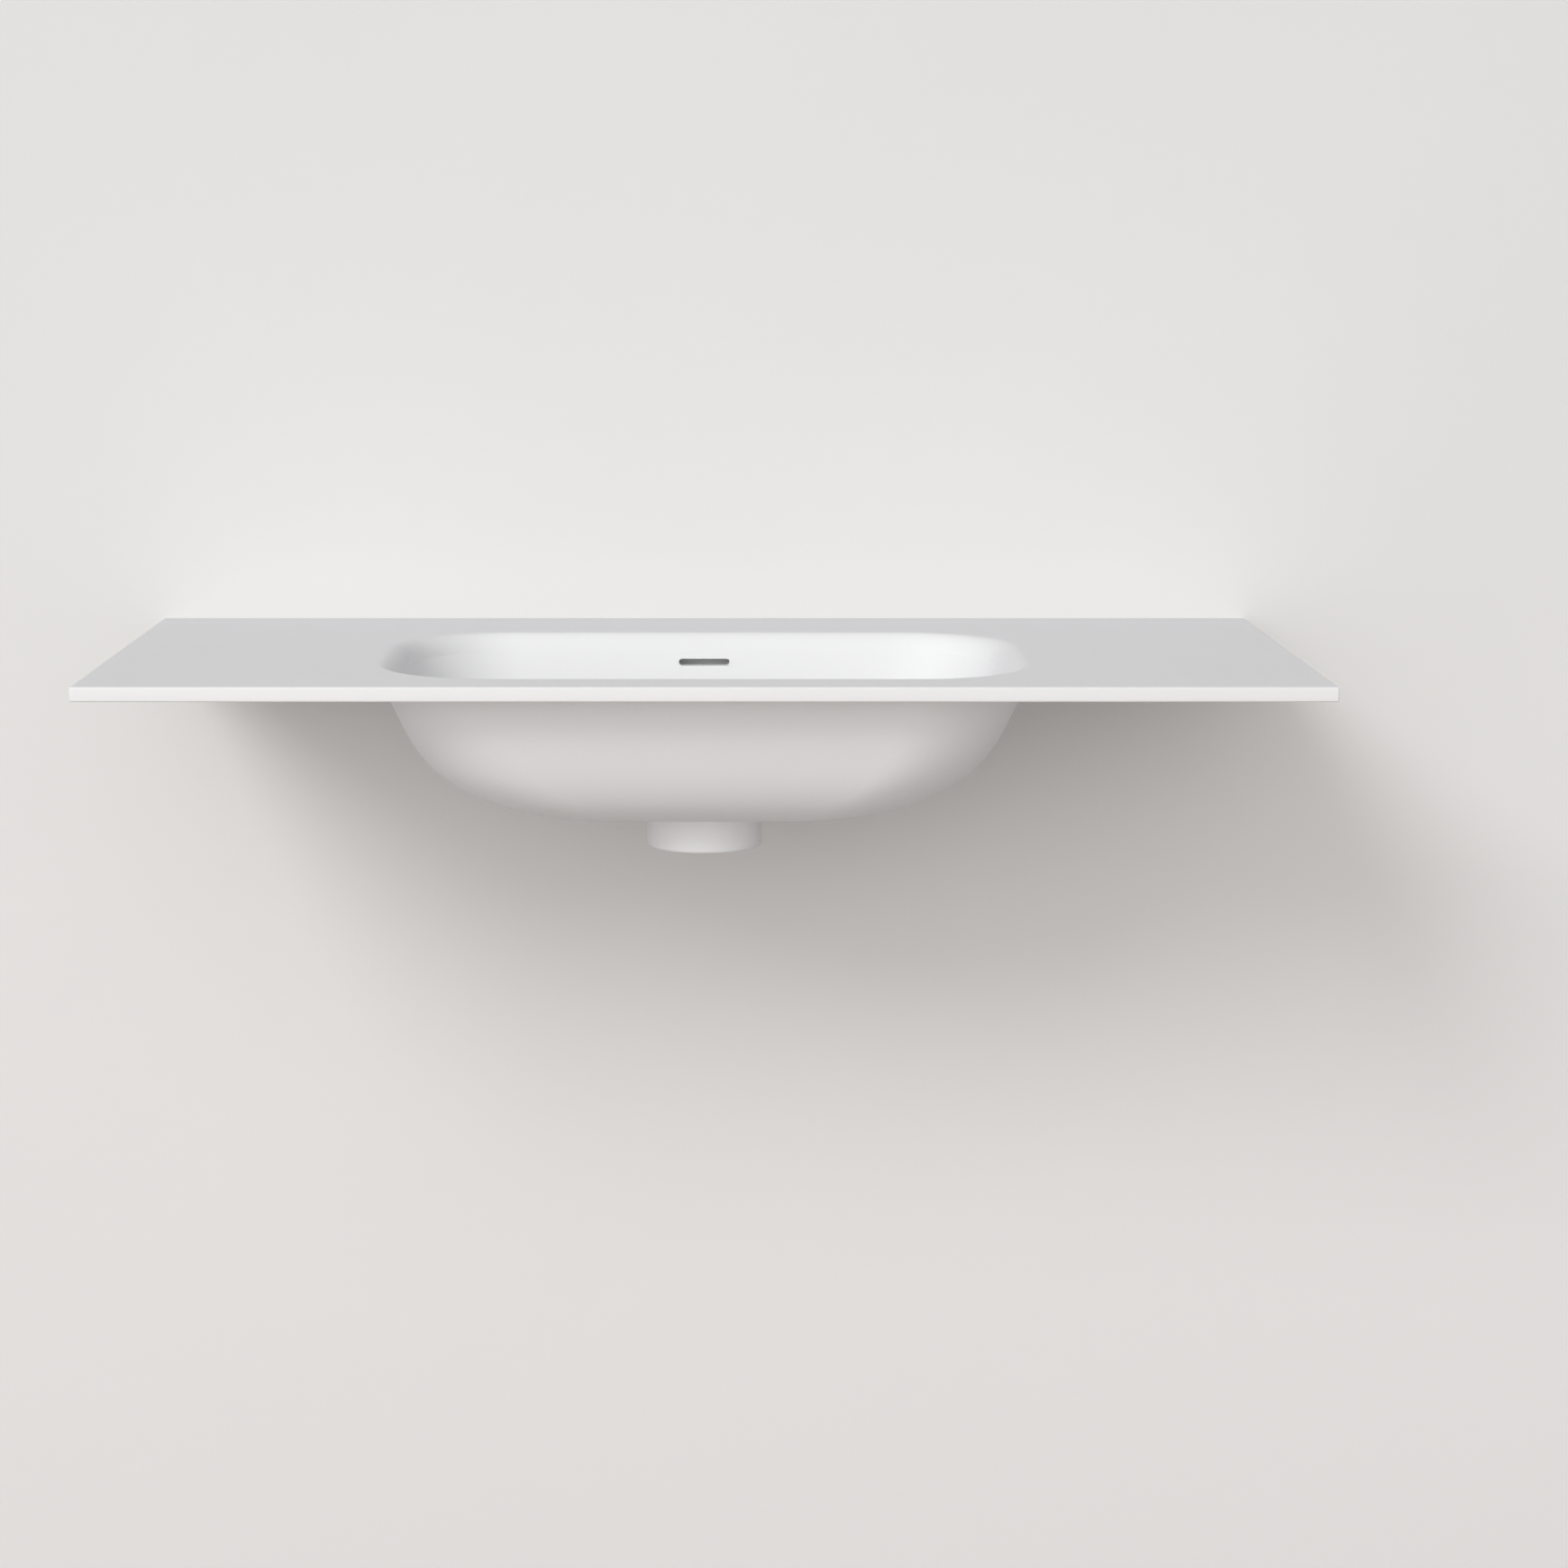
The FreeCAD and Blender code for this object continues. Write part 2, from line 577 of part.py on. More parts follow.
def make_cartridge():
    """The push-open cartridge on the bridge: housing, cap, latch pin and spring."""
    outer, stub = "housing_diameter / 2", "stub_diameter / 2"
    housing = turned(
        "cartridge_housing",
        [
            ("0", "-bridge_drop - stub_length"),
            (stub, "-bridge_drop - stub_length"),
            (stub, "-bridge_drop"),
            (outer, "-bridge_drop"),
            (outer, "-housing_top_drop"),
            (HOUSING_BORE, "-housing_top_drop"),
            (HOUSING_BORE, HOUSING_FLOOR),
            ("0", HOUSING_FLOOR),
        ],
    )
    hole = new_sketch(housing, "latch_hole", "YZ_Plane")
    circle(hole, "0", "-latch_pin_drop", "latch_pin_diameter + 2 * running_gap")
    pocket(housing, hole, outer, backwards=True)

    rod_bore, spigot = "(rod_diameter / 2 + running_gap)", f"({HOUSING_BORE} - running_gap)"
    turned(
        "cartridge_cap",
        [
            (rod_bore, "-housing_top_drop - cap_spigot"),
            (spigot, "-housing_top_drop - cap_spigot"),
            (spigot, "-housing_top_drop"),
            (outer, "-housing_top_drop"),
            (outer, "cap_thickness - housing_top_drop"),
            (rod_bore, "cap_thickness - housing_top_drop"),
        ],
    )

    pin = waste_body_at_drain("latch_pin")
    section = new_sketch(pin, "latch_pin_section", "YZ_Plane", ("0", "0", f"{HOUSING_BORE} - latch_reach"))
    circle(section, "0", "-latch_pin_drop", "latch_pin_diameter")
    pad(pin, section, "housing_wall + latch_reach")

    spring = waste_body_at_drain("return_spring")
    wire = new_sketch(spring, "spring_wire_section", "XZ_Plane")
    circle(wire, "spring_diameter / 2", f"{HOUSING_FLOOR} + spring_wire / 2 + stop_gap", "spring_wire")
    coil = spring.newObject("PartDesign::AdditiveHelix", "spring_coil")
    coil.Profile = wire
    coil.ReferenceAxis = (wire, ["V_Axis"])
    coil.Mode = "height-turns-angle"
    coil.setExpression("Height", bound(f"{DRUM_BOTTOM} - {HOUSING_FLOOR} - spring_wire - 2 * stop_gap"))
    coil.setExpression("Turns", bound("spring_turns"))
    doc.recompute()


def make_plug():
    """What rises and falls with the plug: the plunger, the plug's cap and its seal."""
    rod, drum = "rod_diameter / 2", f"({HOUSING_BORE} - running_gap)"
    top = f"({PLUG_UNDERSIDE} + rod_seat - stop_gap)"
    plunger = turned(
        "plunger",
        [
            ("0", f"{DRUM_BOTTOM} - guide_length"),
            (rod, f"{DRUM_BOTTOM} - guide_length"),
            (rod, DRUM_BOTTOM),
            (drum, DRUM_BOTTOM),
            (drum, DRUM_TOP),
            (rod, DRUM_TOP),
            (rod, top),
            ("0", top),
        ],
    )
    groove = new_sketch(plunger, "latch_groove", offset=("0", "0", DRUM_TOP))
    half = "(latch_pin_diameter / 2 + stop_gap)"
    bottom = f"{HOUSING_BORE} - latch_reach - stop_gap"
    rectangle(groove, bottom, f"{HOUSING_BORE} + stop_gap", f"-{half}", half)
    pocket(plunger, groove, "drum_height")

    radius, high = "plug_diameter / 2", f"({PLUG_UNDERSIDE} + plug_thickness)"
    socket = "(rod_diameter / 2 + running_gap)"
    cap = turned(
        "plug_cap",
        [
            (socket, PLUG_UNDERSIDE),
            (radius, PLUG_UNDERSIDE),
            (radius, high),
            ("0", high),
            ("0", f"{PLUG_UNDERSIDE} + rod_seat"),
            (socket, f"{PLUG_UNDERSIDE} + rod_seat"),
        ],
    )
    brow = measure(f"{high} - plug_round / 2")
    round_edges(cap, "plug_brow", lambda edge: edge.BoundBox.ZMin > brow, "plug_round")
    outer = "(plug_diameter - 2 * plug_seal_inset)"
    inner = f"{outer} - 2 * plug_seal_width"
    ring("plug_seal", inner, outer, "plug_travel + stop_gap", PLUG_UNDERSIDE)


def make_console(label, side):
    """One concealed steel console: an arm under the panel, a wall plate and a web at one edge."""
    body = new_body(label, (f"{side} * {CONSOLE_SPACING} / 2", "0", CONSOLE_TOP))
    half = "console_width / 2"
    arm = rectangle(new_sketch(body, f"{label}_arm"), f"-{half}", half, "-console_arm", "0")
    pad(body, arm, "console_plate", backwards=True)
    plate = new_sketch(body, f"{label}_plate", "XZ_Plane")
    rectangle(plate, f"-{half}", half, "-console_height", "0")
    pad(body, plate, "console_plate")
    web = new_sketch(body, f"{label}_web", "YZ_Plane", ("0", "0", f"{side} * {half}"))
    polygon(
        web,
        [
            ("0", "0"),
            ("-console_arm", "0"),
            ("-console_arm", "-console_nose"),
            ("-console_plate", "-console_height"),
            ("0", "-console_height"),
        ],
    )
    pad(body, web, "console_plate", backwards=side > 0)
    screws = new_sketch(body, f"{label}_screw_holes")
    for y in ("-screw_setback", "-screw_setback - screw_spacing"):
        circle(screws, "0", y, "screw_diameter + 2 * screw_hole_gap")
    pocket(body, screws, "console_plate")
    anchors = new_sketch(body, f"{label}_wall_holes", "XZ_Plane")
    for z in ("-wall_hole_top", "-wall_hole_top - wall_hole_spacing"):
        circle(anchors, "0", z, "wall_hole_diameter")
    pocket(body, anchors, "console_plate", backwards=True)


def make_console_fixings():
    """Pads between the consoles and the panel, and the screws, washers and inserts that hold them."""
    left = f"-{CONSOLE_SPACING} / 2"
    across = ("X_Axis", CONSOLE_SPACING)
    along = ("Y_Axis", "screw_spacing")

    pads = new_body("console_pads", (left, "0", CONSOLE_TOP))
    half = "console_width / 2"
    outline = rectangle(new_sketch(pads, "pad_outline"), f"-{half}", half, "-console_arm", "0")
    for y in ("-screw_setback", "-screw_setback - screw_spacing"):
        circle(outline, "0", y, "screw_diameter + 2 * screw_hole_gap")
    strip = pad(pads, outline, "pad_thickness")
    repeat(pads, strip, "pad_pair", across)

    def fixing(label, corners):
        """Four like pieces, turned about the screws' axes."""
        place = (left, "-screw_setback - screw_spacing", "0")
        body = new_body(label, place)
        profile = polygon(new_sketch(body, f"{label}_profile", "XZ_Plane"), corners)
        repeat(body, revolve(body, profile), f"{label}_set", across, along)

    shank, head, socket = "screw_diameter / 2", "screw_head_diameter / 2", "screw_socket / 2"
    head_low = f"({HEAD_SEAT} - screw_head_height)"
    fixing(
        "console_screws",
        [
            ("0", SCREW_TIP),
            ("0", f"{head_low} + screw_socket_depth"),
            (socket, f"{head_low} + screw_socket_depth"),
            (socket, head_low),
            (head, head_low),
            (head, HEAD_SEAT),
            (shank, HEAD_SEAT),
            (shank, SCREW_TIP),
        ],
    )
    washer, washer_hole = "flat_washer_diameter / 2", "(screw_diameter / 2 + screw_hole_gap)"
    washer_top = f"({CONSOLE_TOP} - console_plate)"
    fixing(
        "console_washers",
        [(washer_hole, HEAD_SEAT), (washer, HEAD_SEAT), (washer, washer_top), (washer_hole, washer_top)],
    )
    insert, tapped = "insert_diameter / 2", "(screw_diameter / 2 + insert_gap)"
    fixing(
        "threaded_inserts",
        [
            (tapped, "-deck_thickness"),
            (insert, "-deck_thickness"),
            (insert, "-insert_cover"),
            (tapped, "-insert_cover"),
        ],
    )


def write_parts():
    """Every sub-part's shape, after a check that nothing in the document has failed."""
    doc.recompute()
    faults = [item.Name for item in doc.Objects if {"Invalid", "Error"} & set(item.State)]
    bodies = [item for item in doc.Objects if item.TypeId == "PartDesign::Body"]
    faults += [body.Label for body in bodies if body.Shape.isNull() or not body.Shape.isValid()]
    if faults:
        raise RuntimeError(f"failed: {faults}")
    os.makedirs("parts", exist_ok=True)
    for body in bodies:
        body.Shape.exportStep(f"parts/{body.Label}.step")
        print(body.Label, len(body.Shape.Solids), round(body.Shape.Volume, 1))


make_deck()
make_bowl()
make_collar()
make_duct()
make_waste()
make_cartridge()
make_plug()
make_console("console_left", -1)
make_console("console_right", 1)
make_console_fixings()
write_parts()
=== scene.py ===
import json
import math

import bmesh
import bpy
from mathutils import Matrix, Vector


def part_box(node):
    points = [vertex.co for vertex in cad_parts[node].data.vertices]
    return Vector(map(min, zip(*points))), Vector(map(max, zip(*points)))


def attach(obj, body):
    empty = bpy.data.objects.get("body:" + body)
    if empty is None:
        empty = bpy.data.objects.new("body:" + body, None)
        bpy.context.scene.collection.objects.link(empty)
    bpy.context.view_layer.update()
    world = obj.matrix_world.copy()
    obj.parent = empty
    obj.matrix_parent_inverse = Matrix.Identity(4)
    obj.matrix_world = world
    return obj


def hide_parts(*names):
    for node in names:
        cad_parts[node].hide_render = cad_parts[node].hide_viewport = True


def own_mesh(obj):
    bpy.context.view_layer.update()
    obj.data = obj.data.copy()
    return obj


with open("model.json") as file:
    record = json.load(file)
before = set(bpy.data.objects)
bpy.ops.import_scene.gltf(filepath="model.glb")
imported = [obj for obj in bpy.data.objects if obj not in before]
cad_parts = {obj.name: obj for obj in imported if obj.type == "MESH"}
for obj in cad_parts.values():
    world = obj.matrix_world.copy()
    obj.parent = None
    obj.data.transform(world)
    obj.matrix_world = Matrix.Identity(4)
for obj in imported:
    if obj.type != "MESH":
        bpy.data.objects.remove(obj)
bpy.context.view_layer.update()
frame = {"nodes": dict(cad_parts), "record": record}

# Measures, in metres. What the frame gives is read from it.
DECK_LOW, DECK_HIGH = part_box("deck_panel")
BOWL_LOW, BOWL_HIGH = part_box("basin_bowl")
DUCT_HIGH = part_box("overflow_duct")[1]
PLUG_LOW, PLUG_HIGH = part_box("plug_cap")
NUT_LOW, NUT_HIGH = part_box("back_nut")
INSERT_LOW, INSERT_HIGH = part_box("threaded_inserts")
SCREW_LOW, SCREW_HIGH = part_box("console_screws")
WASHER_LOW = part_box("console_washers")[0]
BASIN_Y = (BOWL_LOW.y + BOWL_HIGH.y) / 2
PANEL_UNDERSIDE = INSERT_LOW.z
RIM_UNDERSIDE = BOWL_HIGH.z
EDGE_ROUND = 0.0015
SUPPORT = 0.0008

# Lip: its curve's four points from the panel's top to the mouth, as places out from the mouth and levels
LIP_AT_ENDS = (0.0175, 0.0085, 0, 0)
LIP_AT_SIDES = (0.012, 0.0068, 0.0022, 0)
LIP_LEVELS = (0, 0, -0.008, RIM_UNDERSIDE)

# Bowl: the same form as the solid's, from a few sections
BOWL_WALL = 0.0125
MOUTH_HALF_WIDTH = BOWL_HIGH.x - BOWL_WALL
MOUTH_HALF_DEPTH = (BOWL_HIGH.y - BOWL_LOW.y) / 2 - BOWL_WALL
MOUTH_CORNER = 0.084
FLOOR_HALF_WIDTH = 0.105
FLOOR_HALF_DEPTH = 0.052
FLOOR_LEVEL = BOWL_LOW.z + BOWL_WALL
DROP_SHARES = (0, 0.19, 0.42, 0.627, 0.792, 0.907, 0.974, 1)
INSET_SHARES = (0, 0.056, 0.132, 0.239, 0.381, 0.563, 0.787, 1)
CORNER_LIMIT_SHARE = 0.9
RECESS_RADIUS = 0.0324
RECESS_DEPTH = 0.0035
HOLE_RADIUS = 0.023

# Overflow slot and duct
SLOT_LEVEL = -0.0254
SLOT_HALF_WIDTH = 0.0225
SLOT_HALF_HEIGHT = 0.003
SLOT_EASE = 0.0003
SLOT_MARGIN = 0.0015
BOND_GAP = 0.0002
DUCT_WALL = 0.003
DUCT_CHANNEL = 0.009
DUCT_ROUND = 0.0028
DUCT_LID_ROWS = 1
DUCT_COLUMNS = 12
COLLAR_RADIUS = 0.049

# Plug, nut and spring
PLUG_DOME = 0.0007
PLUG_ROUND = 0.002
PLUG_FOOT = 0.0005
PLUG_SOCKET_RADIUS = 0.00355
PLUG_SOCKET_DEPTH = 0.0025
NUT_BORE_RADIUS = 0.02125
NUT_EASE = 0.0006
SPRING_WIRE = 0.0007
SPRING_TURNS = 5

# Consoles and their fixings
CONSOLE_PLATE = 0.006
CONSOLE_NOSE = 0.010
CONSOLE_EASE = 0.0006
CONSOLE_CORNER = 0.004
WALL_HOLE_RADIUS = 0.0045
WALL_HOLE_DROPS = (0.020, 0.044)
SCREW_HOLE_RADIUS = 0.0033
SCREW_HEAD_RADIUS = 0.00525
SCREW_RADIUS = 0.003
SCREW_SOCKET_RADIUS = 0.0023
SCREW_SOCKET_DEPTH = 0.0018
SCREW_EASE = 0.0003
BEAD_RADIUS = 0.0026
BEAD_PITCH = 0.0022
BEAD_START = 4 * BEAD_RADIUS
BEAD_STOP = 2 * BEAD_RADIUS
BEAD_END_SHARE = 0.6
BEAD_WAIST_SHARE = 0.86
INSERT_RADIUS = 0.00425
INSERT_HOLE_RADIUS = 0.0043

# Steps of round forms
CORNER_STEPS = 26
LIP_STEPS = 24
ROW_STEPS = 5
EDGE_STEPS = 5
EASE_STEPS = 2
TURN_STEPS = 96
HOLE_STEPS = 32
SLOT_STEPS = 12
DOME_STEPS = 10
SPRING_STEPS = 32
WIRE_STEPS = 12
BEAD_SIDES = 10
HEXAGON = 6

# Points closer than this are one, and edges sharper than these angles are shaded as edges
MERGE = 1e-6
SHARP = math.radians(32)
SLOT_SHARP = math.radians(20)


# Finishes. A wave texture runs through 20 radians in a metre at a scale of 1.
WAVE_RADIANS = 20
RING_WANDER = 0.4


class Signal:
    """A shader value. Arithmetic on it adds Math nodes."""

    def __init__(self, tree, socket):
        self.tree = tree
        self.socket = socket

    def math(self, operation, first, second=0.0):
        node = self.tree.nodes.new("ShaderNodeMath")
        node.operation = operation
        feed(self.tree, node.inputs[0], first)
        feed(self.tree, node.inputs[1], second)
        return Signal(self.tree, node.outputs[0])

    def __add__(self, other):
        return self.math("ADD", self, other)

    def __radd__(self, other):
        return self.math("ADD", other, self)

    def __sub__(self, other):
        return self.math("SUBTRACT", self, other)

    def __rsub__(self, other):
        return self.math("SUBTRACT", other, self)

    def __mul__(self, other):
        return self.math("MULTIPLY", self, other)

    def __rmul__(self, other):
        return self.math("MULTIPLY", other, self)

    def __pow__(self, other):
        return self.math("POWER", self, other)

    def at_least(self, other):
        return self.math("MAXIMUM", self, other)

    def below(self, other):
        return self.math("LESS_THAN", self, other)


def feed(tree, socket, value):
    """Links a signal to the socket, or sets the socket's own value."""
    if isinstance(value, Signal):
        tree.links.new(value.socket, socket)
    else:
        socket.default_value = value


class Nodes:
    """A node tree, made one node at a time."""

    def __init__(self, tree):
        self.tree = tree
        tree.nodes.clear()

    def node(self, kind, settings=None, sockets=None, output=0):
        """A node by its type, its settings and then its sockets' values or links; gives one output."""
        made = self.tree.nodes.new("ShaderNode" + kind)
        for name, value in (settings or {}).items():
            setattr(made, name, value)
        for name, value in (sockets or {}).items():
            feed(self.tree, made.inputs[name], value)
        return Signal(self.tree, made.outputs[output]) if made.outputs else None

    def place(self, stretch=None):
        """Object coordinates, stretched along the axes where asked."""
        place = self.node("TexCoord", output="Object")
        return self.node("Mapping", None, {"Vector": place, "Scale": stretch}) if stretch else place

    def noise(self, scale, detail=2.0, stretch=None):
        sockets = {"Vector": self.place(stretch), "Scale": scale, "Detail": detail}
        return self.node("TexNoise", None, sockets)

    def cells(self, scale):
        """A random number for each cell of a broken pattern."""
        found = self.node("TexVoronoi", None, {"Vector": self.place(), "Scale": scale}, output="Color")
        return self.node("SeparateColor", None, {"Color": found})

    def rings(self, pitch, direction="Z"):
        """Fine bands along an axis, a pitch apart, such as a cutting tool leaves."""
        settings = {"wave_type": "BANDS", "bands_direction": direction, "wave_profile": "SIN"}
        scale = 2 * math.pi / (WAVE_RADIANS * pitch)
        sockets = {"Vector": self.place(), "Scale": scale, "Distortion": RING_WANDER}
        return self.node("TexWave", settings, sockets)

    def mix(self, factor, first, second, blend="MIX"):
        """A colour between two, or one laid over the other."""
        settings = {"data_type": "RGBA", "blend_type": blend}
        return self.node("Mix", settings, {0: factor, 6: first, 7: second}, output=2)

    def bump(self, height, distance, strength=1.0):
        return self.node("Bump", None, {"Strength": strength, "Distance": distance, "Height": height})

    def in_sight(self):
        """1 for what the camera sees, straight or by way of metal or glass."""
        seen = self.node("LightPath", output="Is Camera Ray")
        for kind in ("Glossy", "Transmission"):
            seen = seen.at_least(self.node("LightPath", output=f"Is {kind} Ray"))
        return seen


class Finish(Nodes):
    """A material that goes by the name of its slot."""

    def __init__(self, name):
        self.material = bpy.data.materials.new(name)
        self.material.use_nodes = True
        super().__init__(self.material.node_tree)

    def surface(self, **sockets):
        """The surface's shader, with its sockets given by name."""
        named = {name.replace("_", " "): value for name, value in sockets.items()}
        return self.end(self.node("BsdfPrincipled", None, named))

    def end(self, shader):
        self.node("OutputMaterial", None, {"Surface": shader})
        return self.material


def span(value, low, high):
    """A value from 0 to 1 laid between low and high."""
    return value * (high - low) + low


def shade(colour, share):
    """A colour with its three parts multiplied by a share."""
    return (*(part * share for part in colour[:3]), 1)


def solid_surface():
    """Matt white mineral-filled acrylic: faint clouding, fine mineral grain and a sanded skin."""
    finish = Finish("solid_surface")
    white = (0.911, 0.913, 0.915, 1)
    cloud = finish.noise(7.0, 3.0)
    grain = finish.noise(1700.0, 2.0)
    tone = finish.mix(cloud, shade(white, 0.988), shade(white, 1.012))
    fleck = finish.mix(grain, shade((1, 1, 1), 0.955), shade((1, 1, 1), 1.03))
    return finish.surface(
        Base_Color=finish.mix(1.0, tone, fleck, "MULTIPLY"),
        Roughness=span(cloud, 0.56, 0.62) + grain * 0.05,
        Normal=finish.bump(grain, 0.00002, 0.3),
        IOR=1.49,
    )


def chrome():
    """Polished plate: bright and cool, with faint wiping marks."""
    finish = Finish("chrome")
    smear = finish.noise(45.0, 4.0, (1, 3, 1))
    fine = finish.noise(900.0, 2.0)
    return finish.surface(
        Base_Color=finish.mix(smear, (0.74, 0.75, 0.765, 1), (0.8, 0.81, 0.82, 1)),
        Roughness=span(smear, 0.04, 0.12) + fine * 0.03,
        Normal=finish.bump(fine, 0.000004, 0.2),
        Metallic=1.0,
    )


def brass():
    """Turned brass: tool rings and a little tarnish."""
    finish = Finish("brass")
    tarnish = finish.noise(160.0, 5.0)
    cut = finish.rings(0.0004)
    return finish.surface(
        Base_Color=finish.mix(tarnish, (0.6, 0.43, 0.2, 1), (0.78, 0.62, 0.34, 1)),
        Roughness=span(tarnish, 0.42, 0.24) + cut * 0.06,
        Normal=finish.bump(cut, 0.00002, 0.5),
        Metallic=1.0,
    )


def rubber():
    """Black moulded rubber with a dusty bloom."""
    finish = Finish("rubber")
    bloom = finish.noise(220.0, 4.0)
    pores = finish.noise(2600.0, 2.0)
    return finish.surface(
        Base_Color=finish.mix(bloom, (0.022, 0.022, 0.023, 1), (0.07, 0.07, 0.071, 1)),
        Roughness=span(bloom, 0.62, 0.85),
        Normal=finish.bump(pores, 0.00003, 0.4),
    )


def white_nylon():
    """Natural moulded plastic: milky, with a fine mould texture."""
    finish = Finish("white_nylon")
    flow = finish.noise(90.0, 3.0, (1, 1, 0.3))
    mould = finish.noise(2200.0, 2.0)
    return finish.surface(
        Base_Color=finish.mix(flow, (0.77, 0.765, 0.73, 1), (0.86, 0.855, 0.83, 1)),
        Roughness=span(flow, 0.4, 0.55),
        Normal=finish.bump(mould, 0.00002, 0.35),
    )


def spring_steel():
    """Bright drawn wire with fine die lines."""
    finish = Finish("spring_steel")
    lines = finish.noise(1500.0, 3.0, (1, 1, 0.15))
    return finish.surface(
        Base_Color=finish.mix(lines, (0.46, 0.46, 0.465, 1), (0.66, 0.66, 0.66, 1)),
        Roughness=span(lines, 0.18, 0.34),
        Normal=finish.bump(lines, 0.00001, 0.4),
        Metallic=1.0,
    )


def coated_steel():
    """Light grey powder coat with its orange-peel skin."""
    finish = Finish("coated_steel")
    peel = finish.noise(520.0, 1.0)
    speck = finish.noise(3000.0, 1.0)
    tone = finish.noise(16.0, 3.0)
    grey = finish.mix(tone, (0.57, 0.58, 0.59, 1), (0.65, 0.66, 0.67, 1))
    return finish.surface(
        Base_Color=finish.mix(speck * 0.12, grey, (0.4, 0.41, 0.42, 1)),
        Roughness=span(peel, 0.46, 0.6),
        Normal=finish.bump(peel, 0.00012, 0.45),
    )


def zinc_steel():
    """Zinc plate: pale blue-grey with a mottled crystal bloom."""
    finish = Finish("zinc_steel")
    bloom = finish.cells(700.0)
    haze = finish.noise(260.0, 4.0)
    return finish.surface(
        Base_Color=finish.mix(bloom * 0.6 + haze * 0.4, (0.5, 0.52, 0.55, 1), (0.72, 0.73, 0.74, 1)),
        Roughness=span(haze, 0.28, 0.46),
        Normal=finish.bump(haze, 0.00001, 0.4),
        Metallic=1.0,
    )


makers = (solid_surface, chrome, brass, rubber, white_nylon, spring_steel, coated_steel, zinc_steel)
FINISHES = {maker.__name__: maker() for maker in makers}
for part in frame["record"]["subparts"]:
    for holder in frame["nodes"][part["node"]].material_slots:
        holder.material = FINISHES[part["material_slot"]]


# Mesh helpers
def bevel(bm, geom, amount, affect="EDGES", steps=EDGE_STEPS):
    return bmesh.ops.bevel(
        bm, geom=geom, offset=amount, offset_type="OFFSET", affect=affect, segments=steps, profile=0.5,
        material=-1,
    )


def outline(bm, half_width, half_depth, corner, level):
    """A level face about the bowl's middle, with four round corners."""
    corners = bmesh.ops.create_grid(bm, x_segments=1, y_segments=1, size=1)["verts"]
    bmesh.ops.scale(bm, vec=(half_width, half_depth, 1), verts=corners)
    bmesh.ops.translate(bm, vec=(0, BASIN_Y, level), verts=corners)
    made = bevel(bm, corners, corner, "VERTICES", CORNER_STEPS)
    return made["verts"][0].link_faces[0]


def circle(bm, radius, level, x=0, y=BASIN_Y, steps=TURN_STEPS):
    """The edges of a level circle, on the waste's axis unless a place is given."""
    place = Matrix.Translation((x, y, level)) @ Matrix.Rotation(math.pi / 2, 4, "Z")
    made = bmesh.ops.create_circle(bm, cap_ends=False, radius=radius, segments=steps, matrix=place)
    return list(dict.fromkeys(edge for vert in made["verts"] for edge in vert.link_edges))


def open_loop(bm, face):
    """The face's border, with the face itself taken away."""
    edges = list(face.edges)
    bmesh.ops.delete(bm, geom=[face], context="FACES_ONLY")
    return edges


def bridge(bm, first, second):
    bmesh.ops.bridge_loops(bm, edges=first + second)


def extend(bm, edges, move):
    """A wall from the edges along a move; gives the far edges."""
    made = bmesh.ops.extrude_edge_only(bm, edges=edges)["geom"]
    verts = {item for item in made if isinstance(item, bmesh.types.BMVert)}
    bmesh.ops.translate(bm, vec=move, verts=list(verts))
    return [item for item in made if isinstance(item, bmesh.types.BMEdge) and verts.issuperset(item.verts)]


def close(bm, edges):
    bmesh.ops.contextual_create(bm, geom=edges)


def fill(bm, edges):
    """Flat faces between an outer border and the borders inside it."""
    made = bmesh.ops.triangle_fill(bm, use_beauty=True, use_dissolve=False, edges=edges)["geom"]
    return [item for item in made if isinstance(item, bmesh.types.BMFace)]


def thicken(bm, faces, move):
    """The faces carried along a move, with walls between. The faces that start a part stay as its end."""
    starts = any(edge.is_boundary for face in faces for edge in face.edges)
    made = bmesh.ops.extrude_face_region(bm, geom=faces, use_keep_orig=True)["geom"]
    bmesh.ops.translate(bm, vec=move, verts=[item for item in made if isinstance(item, bmesh.types.BMVert)])
    if not starts:
        bmesh.ops.delete(bm, geom=faces, context="FACES")
    return [item for item in made if isinstance(item, bmesh.types.BMFace)]


def ease(bm, amount):
    """Rounds every sharp edge a little."""
    bmesh.ops.remove_doubles(bm, verts=bm.verts, dist=MERGE)
    bmesh.ops.recalc_face_normals(bm, faces=bm.faces)
    sharp = [edge for edge in bm.edges if edge.calc_face_angle(0) > SHARP]
    bevel(bm, sharp, amount, steps=EASE_STEPS)


def turn(bm, profile):
    """A line of radius and level, spun about the waste's axis."""
    verts = [bm.verts.new((radius, BASIN_Y, level)) for radius, level in profile]
    edges = [bm.edges.new(pair) for pair in zip(verts, verts[1:])]
    bmesh.ops.spin(
        bm, geom=verts + edges, cent=(0, BASIN_Y, 0), axis=(0, 0, 1), angle=2 * math.pi, steps=TURN_STEPS,
        use_merge=True,
    )


def join(bm, part):
    """Adds a finished part to the mesh."""
    held = bpy.data.meshes.new("part")
    part.to_mesh(held)
    part.free()
    bm.from_mesh(held)
    bpy.data.meshes.remove(held)


def add_object(name, bm, material):
    """The mesh as an object at the origin."""
    mesh = bpy.data.meshes.new(name)
    bm.to_mesh(mesh)
    bm.free()
    mesh.materials.append(material)
    made = bpy.data.objects.new(name, mesh)
    bpy.context.scene.collection.objects.link(made)
    return made


